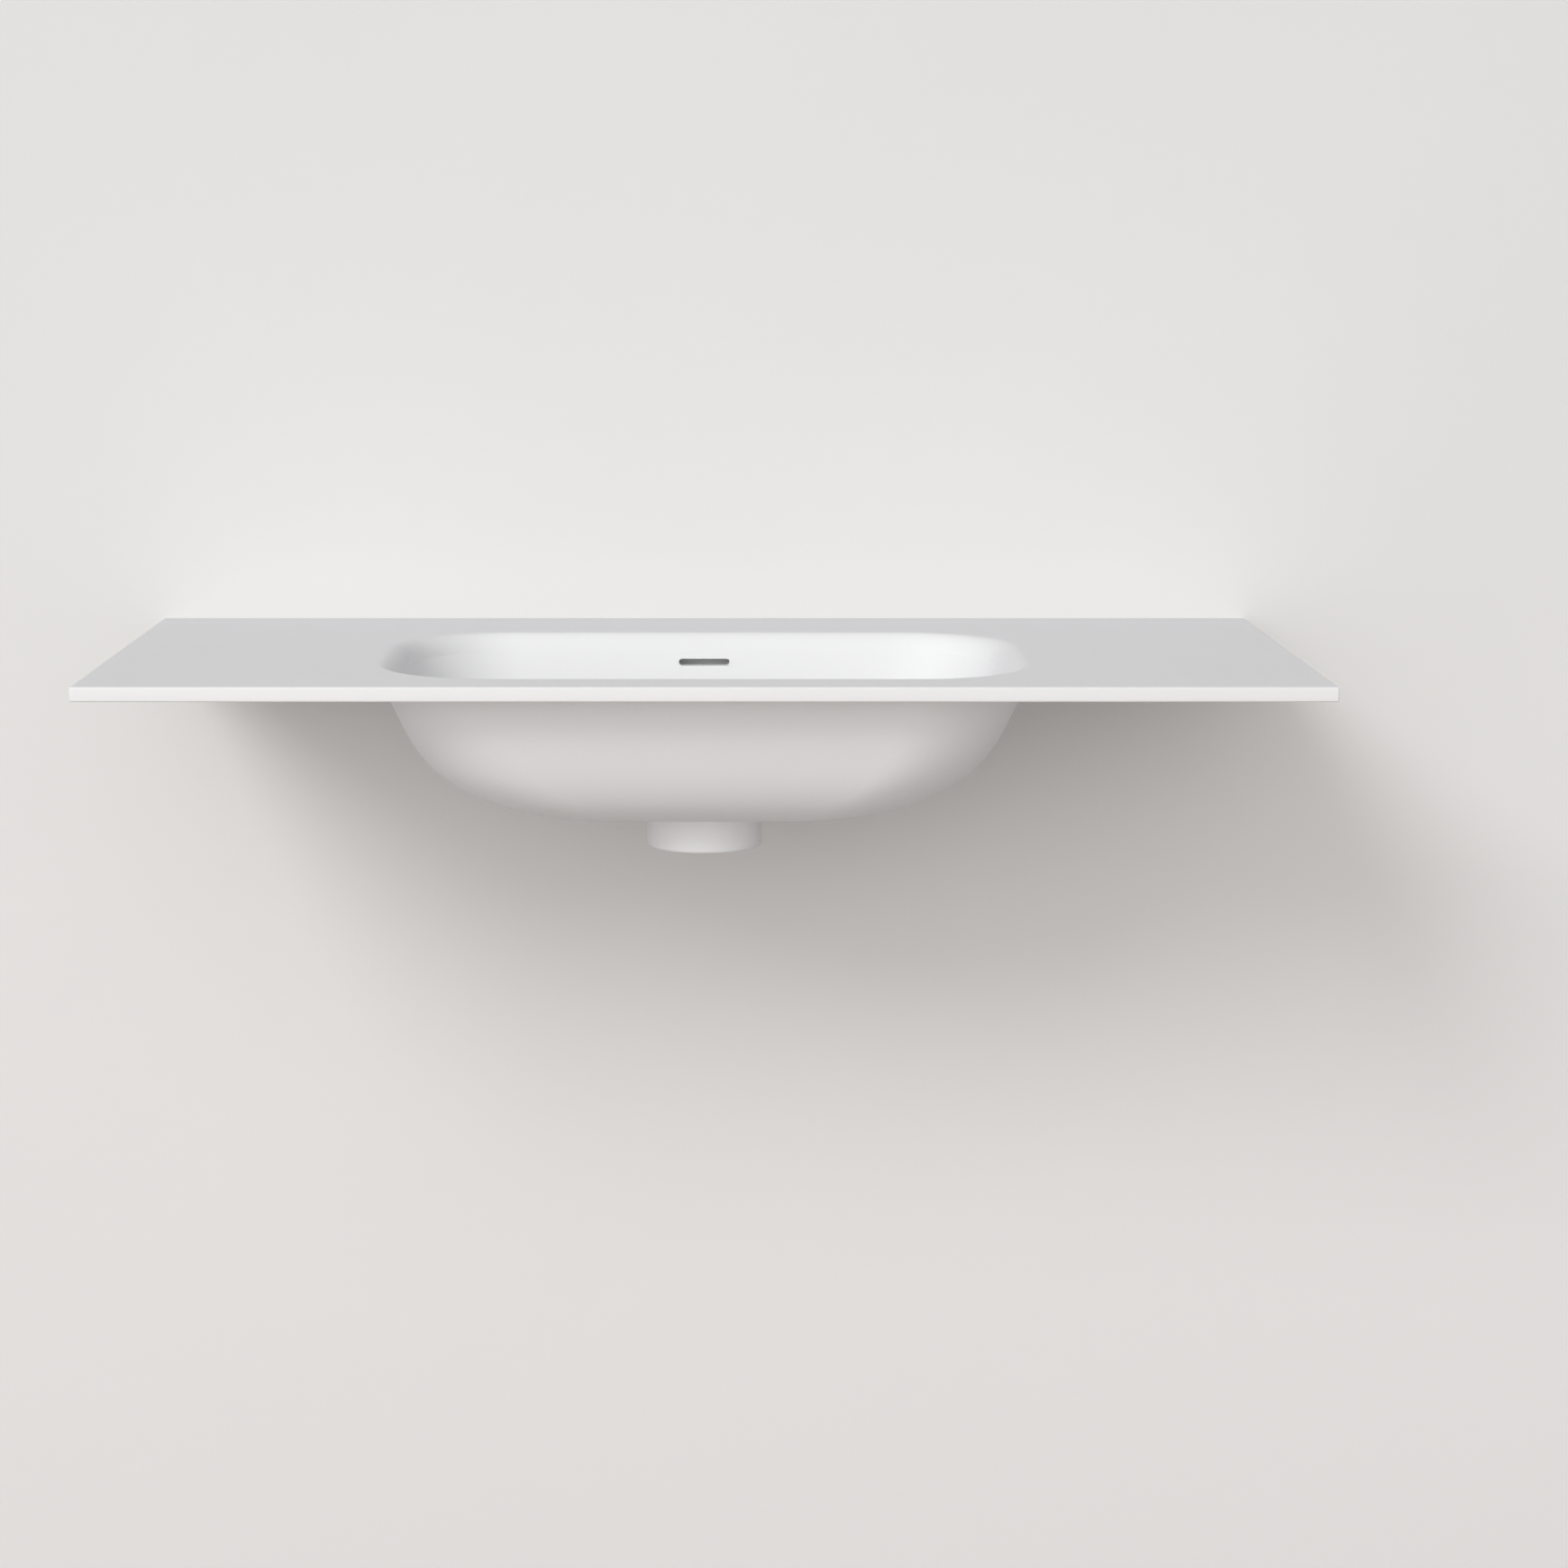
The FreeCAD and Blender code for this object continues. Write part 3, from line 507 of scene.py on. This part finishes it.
def add_piece(name, bm, slot, stands_for, body="top", sharp=SHARP):
    """The mesh as a piece that rides on a body, takes a slot's finish and hides the CAD nodes that it
    stands for.
    """
    bmesh.ops.remove_doubles(bm, verts=bm.verts, dist=MERGE)
    bmesh.ops.recalc_face_normals(bm, faces=bm.faces)
    for face in bm.faces:
        face.smooth = True
    for edge in bm.edges:
        edge.smooth = edge.calc_face_angle(math.pi) < sharp
    piece = add_object(name, bm, FINISHES[slot])
    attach(piece, body)
    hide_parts(*stands_for)
    return piece


# Panel
def curve(values, t):
    """A value on the smooth line from the first to the last of four, which the middle two pull on."""
    start, leave, arrive, end = values
    rest = 1 - t
    return start * rest**3 + 3 * leave * rest**2 * t + 3 * arrive * rest * t**2 + end * t**3


def lip_rows():
    """Half width, half depth, corner and level of the lip's rings, from the panel's top to the mouth."""
    rings = [(LIP_AT_ENDS[0] + SUPPORT, LIP_AT_SIDES[0] + SUPPORT, 0)]
    lines = (LIP_AT_ENDS, LIP_AT_SIDES, LIP_LEVELS)
    for step in range(LIP_STEPS + 1):
        rings.append([curve(values, step / LIP_STEPS) for values in lines])
    rows = []
    for wide, deep, level in rings:
        corner = MOUTH_CORNER + (wide + deep) / 2
        rows.append((MOUTH_HALF_WIDTH + wide, MOUTH_HALF_DEPTH + deep, corner, level))
    return rows


def make_panel():
    """The panel with its eased edges, the rounded lip around the bowl and the rim under it."""
    bm = bmesh.new()
    slab = bmesh.ops.create_cube(bm, size=1)["verts"]
    size = Vector((DECK_HIGH.x - DECK_LOW.x, DECK_HIGH.y - DECK_LOW.y, -PANEL_UNDERSIDE))
    bmesh.ops.scale(bm, vec=size, verts=slab)
    bmesh.ops.translate(bm, vec=(0, -size.y / 2, -size.z / 2), verts=slab)
    free = [edge for edge in bm.edges if min(vert.co.y for vert in edge.verts) < -EDGE_ROUND]
    bevel(bm, free, EDGE_ROUND)
    bm.normal_update()
    top = max(bm.faces, key=lambda face: face.normal.z * face.calc_area())
    underside = min(bm.faces, key=lambda face: face.normal.z * face.calc_area())
    bmesh.ops.inset_region(bm, faces=[top], thickness=SUPPORT, use_even_offset=True)
    bmesh.ops.inset_region(bm, faces=[underside], thickness=SUPPORT, use_even_offset=True)

    rims = [open_loop(bm, outline(bm, *row)) for row in lip_rows()]
    fill(bm, open_loop(bm, top) + rims[0])
    for upper, lower in zip(rims, rims[1:]):
        bridge(bm, upper, lower)
    grown = (MOUTH_HALF_WIDTH + BOWL_WALL, MOUTH_HALF_DEPTH + BOWL_WALL, MOUTH_CORNER + BOWL_WALL)
    foot = open_loop(bm, outline(bm, *grown, RIM_UNDERSIDE))
    fill(bm, rims[-1] + foot)
    root = extend(bm, foot, (0, 0, PANEL_UNDERSIDE - RIM_UNDERSIDE))
    holes = []
    for x in (INSERT_LOW.x + INSERT_RADIUS, INSERT_HIGH.x - INSERT_RADIUS):
        for y in (INSERT_LOW.y + INSERT_RADIUS, INSERT_HIGH.y - INSERT_RADIUS):
            holes.append(circle(bm, INSERT_HOLE_RADIUS, PANEL_UNDERSIDE, x, y, HOLE_STEPS))
    fill(bm, open_loop(bm, underside) + root + [edge for hole in holes for edge in hole])
    for hole in holes:
        close(bm, extend(bm, hole, (0, 0, INSERT_HIGH.z - INSERT_LOW.z)))
    return add_piece("panel", bm, "solid_surface", ["deck_panel"])


# Bowl
def smooth_rows(knots):
    """Rows on a smooth line through the knots, which comes in level where it meets the floor."""
    spans = [(end - start).length for start, end in zip(knots, knots[1:])]
    slopes = [(end - start) / length for start, end, length in zip(knots, knots[1:], spans)]
    tangents = [slopes[0]]
    for before, after, first, second in zip(slopes, slopes[1:], spans, spans[1:]):
        tangents.append((before * second + after * first) / (first + second))
    level = slopes[-1].copy()
    level.w = 0
    tangents.append(level)
    rows = []
    for start, end, leave, arrive, length in zip(knots, knots[1:], tangents, tangents[1:], spans):
        for step in range(ROW_STEPS):
            t = step / ROW_STEPS
            blend = t * t * (3 - 2 * t)
            pull = leave * (t * (1 - t) ** 2) + arrive * (t * t * (t - 1))
            rows.append(start.lerp(end, blend) + pull * length)
    return rows + [knots[-1]]


def bowl_rows(growth):
    """Half width, half depth, corner and level of the bowl's rings, grown outwards from its inner face."""
    mouth = (MOUTH_HALF_WIDTH + growth, MOUTH_HALF_DEPTH + growth)
    top, bottom = RIM_UNDERSIDE, FLOOR_LEVEL - growth
    knots = []
    for drop, inset in zip(DROP_SHARES, INSET_SHARES):
        wide = mouth[0] + (FLOOR_HALF_WIDTH - mouth[0]) * inset
        deep = mouth[1] + (FLOOR_HALF_DEPTH - mouth[1]) * inset
        corner = min(MOUTH_CORNER + growth, deep * CORNER_LIMIT_SHARE)
        knots.append(Vector((wide, deep, corner, top + (bottom - top) * drop)))
    return smooth_rows(knots)


def slot_points():
    """The slot's outline in X and Z, anticlockwise."""
    reach = SLOT_HALF_WIDTH - SLOT_HALF_HEIGHT
    points = []
    for side in (1, -1):
        for step in range(SLOT_STEPS + 1):
            angle = math.pi * (step / SLOT_STEPS - 0.5)
            x = side * (reach + SLOT_HALF_HEIGHT * math.cos(angle))
            points.append((x, SLOT_LEVEL + side * SLOT_HALF_HEIGHT * math.sin(angle)))
    return points


def cut_slot(bm):
    """The overflow slot: its outline cut out of both skins of the back wall, and a tunnel between them."""
    low, high = SLOT_LEVEL - SLOT_HALF_HEIGHT, SLOT_LEVEL + SLOT_HALF_HEIGHT

    def in_the_middle(face):
        place = face.calc_center_median()
        return place.y > BASIN_Y and abs(place.x) < MERGE and len(face.verts) == 4

    def at_slot(face):
        levels = [vert.co.z for vert in face.verts]
        return in_the_middle(face) and min(levels) < high and max(levels) > low

    def cut(faces, place, out):
        edges = dict.fromkeys(edge for face in faces for edge in face.edges)
        verts = dict.fromkeys(vert for face in faces for vert in face.verts)
        made = bmesh.ops.bisect_plane(
            bm, geom=[*faces, *edges, *verts], dist=MERGE, plane_co=place, plane_no=out
        )["geom"]
        return [item for item in made if isinstance(item, bmesh.types.BMFace)]

    strip = [face for face in bm.faces if in_the_middle(face)]
    for side in (-1, 1):
        strip = cut(strip, (side * (SLOT_HALF_WIDTH + SLOT_MARGIN), 0, 0), (1, 0, 0))
    inside = [face for face in strip if at_slot(face)]
    points = slot_points()
    for (x, z), (next_x, next_z) in zip(points, points[1:] + points[:1]):
        place, out = Vector((x, 0, z)), Vector((next_z - z, 0, x - next_x)).normalized()
        pieces = cut(inside, place, out)
        inside = [face for face in pieces if (face.calc_center_median() - place).dot(out) < 0]
    bmesh.ops.delete(bm, geom=inside, context="FACES")
    # At the slot's level both skins lie a little in from where they are at the mouth.
    middle = BASIN_Y + MOUTH_HALF_DEPTH + BOWL_WALL / 4
    border = [edge for edge in bm.edges if edge.is_boundary]
    front = [edge for edge in border if edge.verts[0].co.y < middle]
    back = [edge for edge in border if edge.verts[0].co.y > middle]
    bridge(bm, front, back)
    bevel(bm, front, SLOT_EASE, steps=EASE_STEPS)


def make_bowl():
    """The bowl's shell with its smooth inside and outside, the overflow slot and the waste's seat."""
    bm = bmesh.new()
    inside = [open_loop(bm, outline(bm, *row)) for row in bowl_rows(0)]
    outside = [open_loop(bm, outline(bm, *row)) for row in bowl_rows(BOWL_WALL)]
    for skin in (inside, outside):
        for upper, lower in zip(skin, skin[1:]):
            bridge(bm, upper, lower)
    fill(bm, inside[0] + outside[0])
    recess = circle(bm, RECESS_RADIUS, FLOOR_LEVEL)
    fill(bm, inside[-1] + recess)
    seat = extend(bm, recess, (0, 0, -RECESS_DEPTH))
    hole = circle(bm, HOLE_RADIUS, FLOOR_LEVEL - RECESS_DEPTH)
    fill(bm, seat + hole)
    drain = extend(bm, hole, (0, 0, BOWL_LOW.z - FLOOR_LEVEL + RECESS_DEPTH))
    fill(bm, drain + outside[-1])
    cut_slot(bm)
    return add_piece("bowl", bm, "solid_surface", ["basin_bowl"], sharp=SLOT_SHARP)


def make_duct():
    """The overflow's channel: a straight one with round outer edges, then laid along the bowl's back."""
    bm = bmesh.new()
    half, hollow = DUCT_HIGH.x, DUCT_HIGH.x - DUCT_WALL
    near = BOWL_WALL + BOND_GAP
    ceiling = BOWL_WALL + DUCT_CHANNEL
    far = ceiling + DUCT_WALL
    corners = bmesh.ops.create_grid(bm, x_segments=1, y_segments=1, size=1)["verts"]
    bmesh.ops.scale(bm, vec=(half, (far - near) / 2, 1), verts=corners)
    bmesh.ops.translate(bm, vec=(0, (near + far) / 2, 0), verts=corners)
    bevel(bm, [vert for vert in corners if vert.co.y > ceiling], DUCT_ROUND, "VERTICES")
    cuts = [((0, ceiling, 0), (0, 1, 0))]
    for column in range(DUCT_COLUMNS + 1):
        cuts.append(((hollow * (2 * column / DUCT_COLUMNS - 1), 0, 0), (1, 0, 0)))
    for place, across in cuts:
        everything = [*bm.verts, *bm.edges, *bm.faces]
        bmesh.ops.bisect_plane(bm, geom=everything, dist=MERGE, plane_co=place, plane_no=across)

    def solid(face):
        place = face.calc_center_median()
        return abs(place.x) > hollow or place.y > ceiling

    rows = len(bowl_rows(0))
    section = list(bm.faces)
    for row in range(rows):
        if row == DUCT_LID_ROWS:
            section = [face for face in section if solid(face)]
        section = thicken(bm, section, (0, 0, 1))
    collar = COLLAR_RADIUS + BOND_GAP
    lines = {}
    for vert in bm.verts:
        growth, row = round(vert.co.y, 9), round(vert.co.z)
        line = lines.setdefault(growth, bowl_rows(growth))
        if row < rows:
            vert.co = (vert.co.x, BASIN_Y + line[row].y, line[row].w)
        else:
            vert.co = (vert.co.x, BASIN_Y + math.sqrt(collar**2 - vert.co.x**2), line[-1].w)
    return add_piece("duct", bm, "solid_surface", ["overflow_duct"])


# Waste
def make_plug():
    """The plug's cap: a low dome with a round brow, and the plunger's socket under it."""
    bm = bmesh.new()
    radius, top, bottom = PLUG_HIGH.x, PLUG_HIGH.z, PLUG_LOW.z
    brow = radius - PLUG_ROUND
    dome = []
    for step in range(DOME_STEPS + 1):
        out = brow * step / DOME_STEPS
        dome.append((out, top - PLUG_DOME * (out / brow) ** 2))
    for step in range(1, EDGE_STEPS + 1):
        angle = math.pi / 2 * step / EDGE_STEPS
        level = top - PLUG_DOME - PLUG_ROUND * (1 - math.cos(angle))
        dome.append((brow + PLUG_ROUND * math.sin(angle), level))
    socket = bottom + PLUG_SOCKET_DEPTH
    under = [(radius, bottom + PLUG_FOOT), (radius - PLUG_FOOT, bottom), (PLUG_SOCKET_RADIUS, bottom)]
    turn(bm, dome + under + [(PLUG_SOCKET_RADIUS, socket), (0, socket)])
    return add_piece("plug", bm, "chrome", ["plug_cap"], "plug")


def make_nut():
    """The waste's back nut: a thin hexagon with eased edges and a round hole."""
    bm = bmesh.new()
    sides = circle(bm, NUT_HIGH.x, NUT_LOW.z, steps=HEXAGON)
    bore = circle(bm, NUT_BORE_RADIUS, NUT_LOW.z)
    thicken(bm, fill(bm, sides + bore), (0, 0, NUT_HIGH.z - NUT_LOW.z))
    ease(bm, NUT_EASE)
    return add_piece("nut", bm, "brass", ["back_nut"])


def make_spring():
    """The cartridge's return spring: a wire coil that shortens as the plug goes down."""
    bm = bmesh.new()
    low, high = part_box("return_spring")
    wire = SPRING_WIRE / 2
    start = Matrix.Translation((high.x - wire, BASIN_Y, low.z + wire))
    upright = start @ Matrix.Rotation(math.pi / 2, 4, "X")
    verts = bmesh.ops.create_circle(
        bm, cap_ends=False, radius=wire, segments=WIRE_STEPS, matrix=upright
    )["verts"]
    steps = SPRING_TURNS * SPRING_STEPS
    rise = (high.z - low.z - SPRING_WIRE) / steps
    bmesh.ops.spin(
        bm, geom=verts + list(bm.edges), cent=(0, BASIN_Y, 0), axis=(0, 0, 1), dvec=(0, 0, rise),
        angle=2 * math.pi * SPRING_TURNS, steps=steps, use_merge=False,
    )
    bmesh.ops.holes_fill(bm, edges=[edge for edge in bm.edges if edge.is_boundary])
    spring = add_piece("spring", bm, "spring_steel", ["return_spring"])
    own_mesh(spring)
    return spring


# Consoles
def plate(corners, holes, thickness, placed, rounded=()):
    """A flat plate with round holes and eased edges, made level and then placed."""
    part = bmesh.new()
    verts = [part.verts.new((x, y, 0)) for x, y in corners]
    part.faces.new(verts)
    if rounded:
        bevel(part, [verts[index] for index in rounded], CONSOLE_CORNER, "VERTICES")
    part.faces.ensure_lookup_table()
    border = open_loop(part, part.faces[0])
    rings = [circle(part, radius, 0, x, y, HOLE_STEPS) for x, y, radius in holes]
    thicken(part, fill(part, border + [edge for ring in rings for edge in ring]), (0, 0, thickness))
    ease(part, CONSOLE_EASE)
    bmesh.ops.transform(part, matrix=placed, verts=part.verts)
    return part


def bead(start, end):
    """A weld bead along a line: a round bar with a crest and a waist for each stitch."""
    part = bmesh.new()
    along = end - start
    stitches = max(round(along.length / BEAD_PITCH), 2)
    shares = [1.0, BEAD_WAIST_SHARE] * stitches
    shares[-1] = BEAD_END_SHARE
    place = Matrix.Translation(start) @ along.to_track_quat("Z", "Y").to_matrix().to_4x4()
    ring = bmesh.ops.create_circle(
        part, cap_ends=True, radius=BEAD_RADIUS * BEAD_END_SHARE, segments=BEAD_SIDES, matrix=place
    )["verts"]
    section = list(ring[0].link_faces)
    for step, share in enumerate(shares, 1):
        section = thicken(part, section, along / len(shares))
        centre = start + along * (step / len(shares))
        for vert in section[0].verts:
            vert.co = centre + (vert.co - centre).normalized() * (BEAD_RADIUS * share)
    return part


def make_console(node, side):
    """One console: an arm with a plate at the wall and a web under it, welded together."""
    low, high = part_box(node)
    width, reach, height = high.x - low.x, high.y - low.y, high.z - low.z
    middle = width / 2
    bm = bmesh.new()
    holes = []
    for y in (SCREW_LOW.y + SCREW_HEAD_RADIUS, SCREW_HIGH.y - SCREW_HEAD_RADIUS):
        holes.append((middle, y + reach, SCREW_HOLE_RADIUS))
    arm = [(0, 0), (width, 0), (width, reach), (0, reach)]
    arm_place = Matrix.Translation((low.x, low.y, high.z - CONSOLE_PLATE))
    join(bm, plate(arm, holes, CONSOLE_PLATE, arm_place, (0, 1)))

    wall_height = height - CONSOLE_PLATE + CONSOLE_EASE
    wall = [(0, 0), (width, 0), (width, wall_height), (0, wall_height)]
    wall_holes = [(middle, height - drop, WALL_HOLE_RADIUS) for drop in WALL_HOLE_DROPS]
    upright = Matrix.Rotation(math.pi / 2, 4, "X")
    wall_place = Matrix.Translation((low.x, high.y, low.z)) @ upright
    join(bm, plate(wall, wall_holes, CONSOLE_PLATE, wall_place, (0, 1)))

    web_reach = reach - CONSOLE_PLATE + CONSOLE_EASE
    nose = height - CONSOLE_NOSE
    web = [(0, wall_height), (0, nose), (web_reach, 0), (web_reach, wall_height)]
    web_x = low.x if side < 0 else high.x - CONSOLE_PLATE
    sideways = Matrix(((0, 0, 1, 0), (1, 0, 0, 0), (0, 1, 0, 0), (0, 0, 0, 1)))
    web_place = Matrix.Translation((web_x, low.y, low.z)) @ sideways
    join(bm, plate(web, [], CONSOLE_PLATE, web_place))

    inner_x = low.x + CONSOLE_PLATE if side < 0 else high.x - CONSOLE_PLATE
    under, front = high.z - CONSOLE_PLATE, high.y - CONSOLE_PLATE
    open_x = (high.x if side < 0 else low.x) + side * BEAD_STOP
    corner = Vector((inner_x, front, under))
    join(bm, bead(Vector((inner_x, low.y + BEAD_START, under)), corner))
    join(bm, bead(corner, Vector((inner_x, front, low.z + BEAD_START))))
    join(bm, bead(corner, Vector((open_x, front, under))))
    return add_piece(node + "_welded", bm, "coated_steel", [node])


def make_screws():
    """The consoles' four low-headed screws, each with a hexagon socket."""
    bm = bmesh.new()
    seat, tip = WASHER_LOW.z, SCREW_HIGH.z
    for x in (SCREW_LOW.x + SCREW_HEAD_RADIUS, SCREW_HIGH.x - SCREW_HEAD_RADIUS):
        for y in (SCREW_LOW.y + SCREW_HEAD_RADIUS, SCREW_HIGH.y - SCREW_HEAD_RADIUS):
            part = bmesh.new()
            head = circle(part, SCREW_HEAD_RADIUS, SCREW_LOW.z, x, y, HOLE_STEPS)
            socket = circle(part, SCREW_SOCKET_RADIUS, SCREW_LOW.z, x, y, HEXAGON)
            fill(part, head + socket)
            close(part, extend(part, socket, (0, 0, SCREW_SOCKET_DEPTH)))
            collar = extend(part, head, (0, 0, seat - SCREW_LOW.z))
            shank = circle(part, SCREW_RADIUS, seat, x, y, HOLE_STEPS)
            fill(part, collar + shank)
            close(part, extend(part, shank, (0, 0, tip - seat)))
            ease(part, SCREW_EASE)
            join(bm, part)
    return add_piece("screws", bm, "zinc_steel", ["console_screws"])


make_panel()
make_bowl()
make_duct()
make_plug()
make_nut()
make_spring()
make_console("console_left", -1)
make_console("console_right", 1)
make_screws()

# Stage: a pale wall where the panel is fixed and a pale floor, each seen only from its front
FLOOR_DROP = 0.96
STAGE_REACH = 6.0
WALL_TOP = 3.0
WALL_GAP = 0.0004
TOUCHING = 0.002
WALL_TONE = (0.828, 0.821, 0.808)
WALL_BOUNCE = (0.42, 0.42, 0.445, 1)
FLOOR_TONE = (0.93, 0.923, 0.91)
FLOOR_BOUNCE = (0.585, 0.54, 0.51, 1)
# Painted light: the wall's seen paint is paler low down and darker high up, to even out how the light falls
# on it
PAINTED_LIGHT_FADE = 0.045
PAINTED_LIGHT_LOW, PAINTED_LIGHT_HIGH = -0.6, 0.7
CLOUD_SCALE = 2.5
CLOUD_DETAIL = 3.0
CLOUD_SHARE = 0.4


def stage_plane(name, colour, bounce, placed, half_width, half_depth):
    """A large plane in plain paint, with painted light: it is a little paler towards the floor and darker
    higher up, to even out how the light falls on it. It has the tone of the light that it gives back. It
    can't be seen from behind, or by what touches it."""
    finish = Finish(name)
    height = finish.node("SeparateXYZ", None, {0: finish.place()}, output="Z")
    painted_light_climb = (height - PAINTED_LIGHT_LOW) * (1 / (PAINTED_LIGHT_HIGH - PAINTED_LIGHT_LOW))
    cloud = (finish.noise(CLOUD_SCALE, CLOUD_DETAIL) - 0.5) * CLOUD_SHARE
    # Painted light: the tone fades with height, paler near the floor where the light is weaker, with a
    # random cloud on top
    paint = finish.mix(painted_light_climb + cloud, shade(colour, 1 + PAINTED_LIGHT_FADE), shade(colour, 1 - PAINTED_LIGHT_FADE))
    shader = finish.node("BsdfDiffuse", None, {"Color": finish.mix(finish.in_sight(), bounce, paint)})
    behind = finish.node("NewGeometry", output="Backfacing")
    hidden = behind.at_least(finish.node("LightPath", output="Ray Length").below(TOUCHING))
    clear = finish.node("BsdfTransparent")
    finish.end(finish.node("MixShader", None, {0: hidden, 1: shader, 2: clear}))
    bm = bmesh.new()
    bmesh.ops.create_grid(bm, x_segments=1, y_segments=1, size=1)
    bmesh.ops.scale(bm, vec=(half_width, half_depth, 1), verts=bm.verts)
    bmesh.ops.transform(bm, matrix=placed, verts=bm.verts)
    add_object(name, bm, finish.material)


wall_half = (WALL_TOP + FLOOR_DROP) / 2
wall_place = Matrix.Translation((0, WALL_GAP, WALL_TOP - wall_half)) @ Matrix.Rotation(math.pi / 2, 4, "X")
stage_plane("stage_wall", WALL_TONE, WALL_BOUNCE, wall_place, STAGE_REACH, wall_half)
floor_place = Matrix.Translation((0, -STAGE_REACH, -FLOOR_DROP))
stage_plane("stage_floor", FLOOR_TONE, FLOOR_BOUNCE, floor_place, STAGE_REACH, STAGE_REACH)

# Light: a sky that is stronger from the front, and a large soft lamp from the upper left front
SKY = 0.27
FRONT = 2.1
FRONT_NARROWING = 6.0
FRONT_FROM = Vector((-0.22, -1, 0.15)).normalized()
BACKDROP = (0.9, 0.9, 0.89, 1)
# The light from behind reaches only what touches the wall
BEHIND = 0.55
# How bright the lamp alone makes a white face that is turned to it
KEY = 0.352
KEY_DISTANCE = 24.0
KEY_SIZE = 10.4
KEY_FROM = Vector((-0.72, -1, 0.86))

world = bpy.data.worlds.new("studio")
world.use_nodes = True
bpy.context.scene.world = world
sky = Nodes(world.node_tree)
facing = sky.node("TexCoord", output="Generated")
toward = sky.node("VectorMath", {"operation": "DOT_PRODUCT"}, {0: facing, 1: FRONT_FROM}, output="Value")
behind = sky.node("SeparateXYZ", None, {0: facing}, output="Y")
strength = toward.at_least(0.0) ** FRONT_NARROWING * FRONT + behind.at_least(0.0) * BEHIND + SKY
light = sky.node("Background", None, {"Color": (1, 1, 1, 1), "Strength": strength})
backdrop = sky.node("Background", None, {"Color": BACKDROP, "Strength": 1.0})
surround = sky.node("MixShader", None, {0: sky.in_sight(), 1: light, 2: backdrop})
sky.node("OutputWorld", None, {"Surface": surround})

lamp = bpy.data.lights.new("key", "AREA")
lamp.shape = "DISK"
lamp.size = KEY_SIZE
lamp.energy = KEY * math.pi**2 * KEY_DISTANCE**2
key = bpy.data.objects.new("key", lamp)
middle = Vector((0, BASIN_Y, BOWL_LOW.z / 2))
key.location = middle + KEY_FROM.normalized() * KEY_DISTANCE
key.rotation_euler = (-KEY_FROM).to_track_quat("-Z", "Y").to_euler()
bpy.context.scene.collection.objects.link(key)

# Camera: on the panel's centre line, looking a little down
CAMERA_PLACE = (0, -2.9975, 0.3558)
CAMERA_PITCH = math.radians(9.684)
CAMERA_LENS = 74.781
CAMERA_SENSOR = 36
CAMERA_SHIFT = 0.0509

camera = bpy.data.objects.new("camera", bpy.data.cameras.new("camera"))
camera.data.lens = CAMERA_LENS
camera.data.sensor_width = CAMERA_SENSOR
camera.data.shift_x = CAMERA_SHIFT
camera.location = CAMERA_PLACE
camera.rotation_euler = (math.pi / 2 - CAMERA_PITCH, 0, 0)
bpy.context.scene.collection.objects.link(camera)
bpy.context.scene.camera = camera
bpy.context.scene.view_settings.view_transform = "Standard"
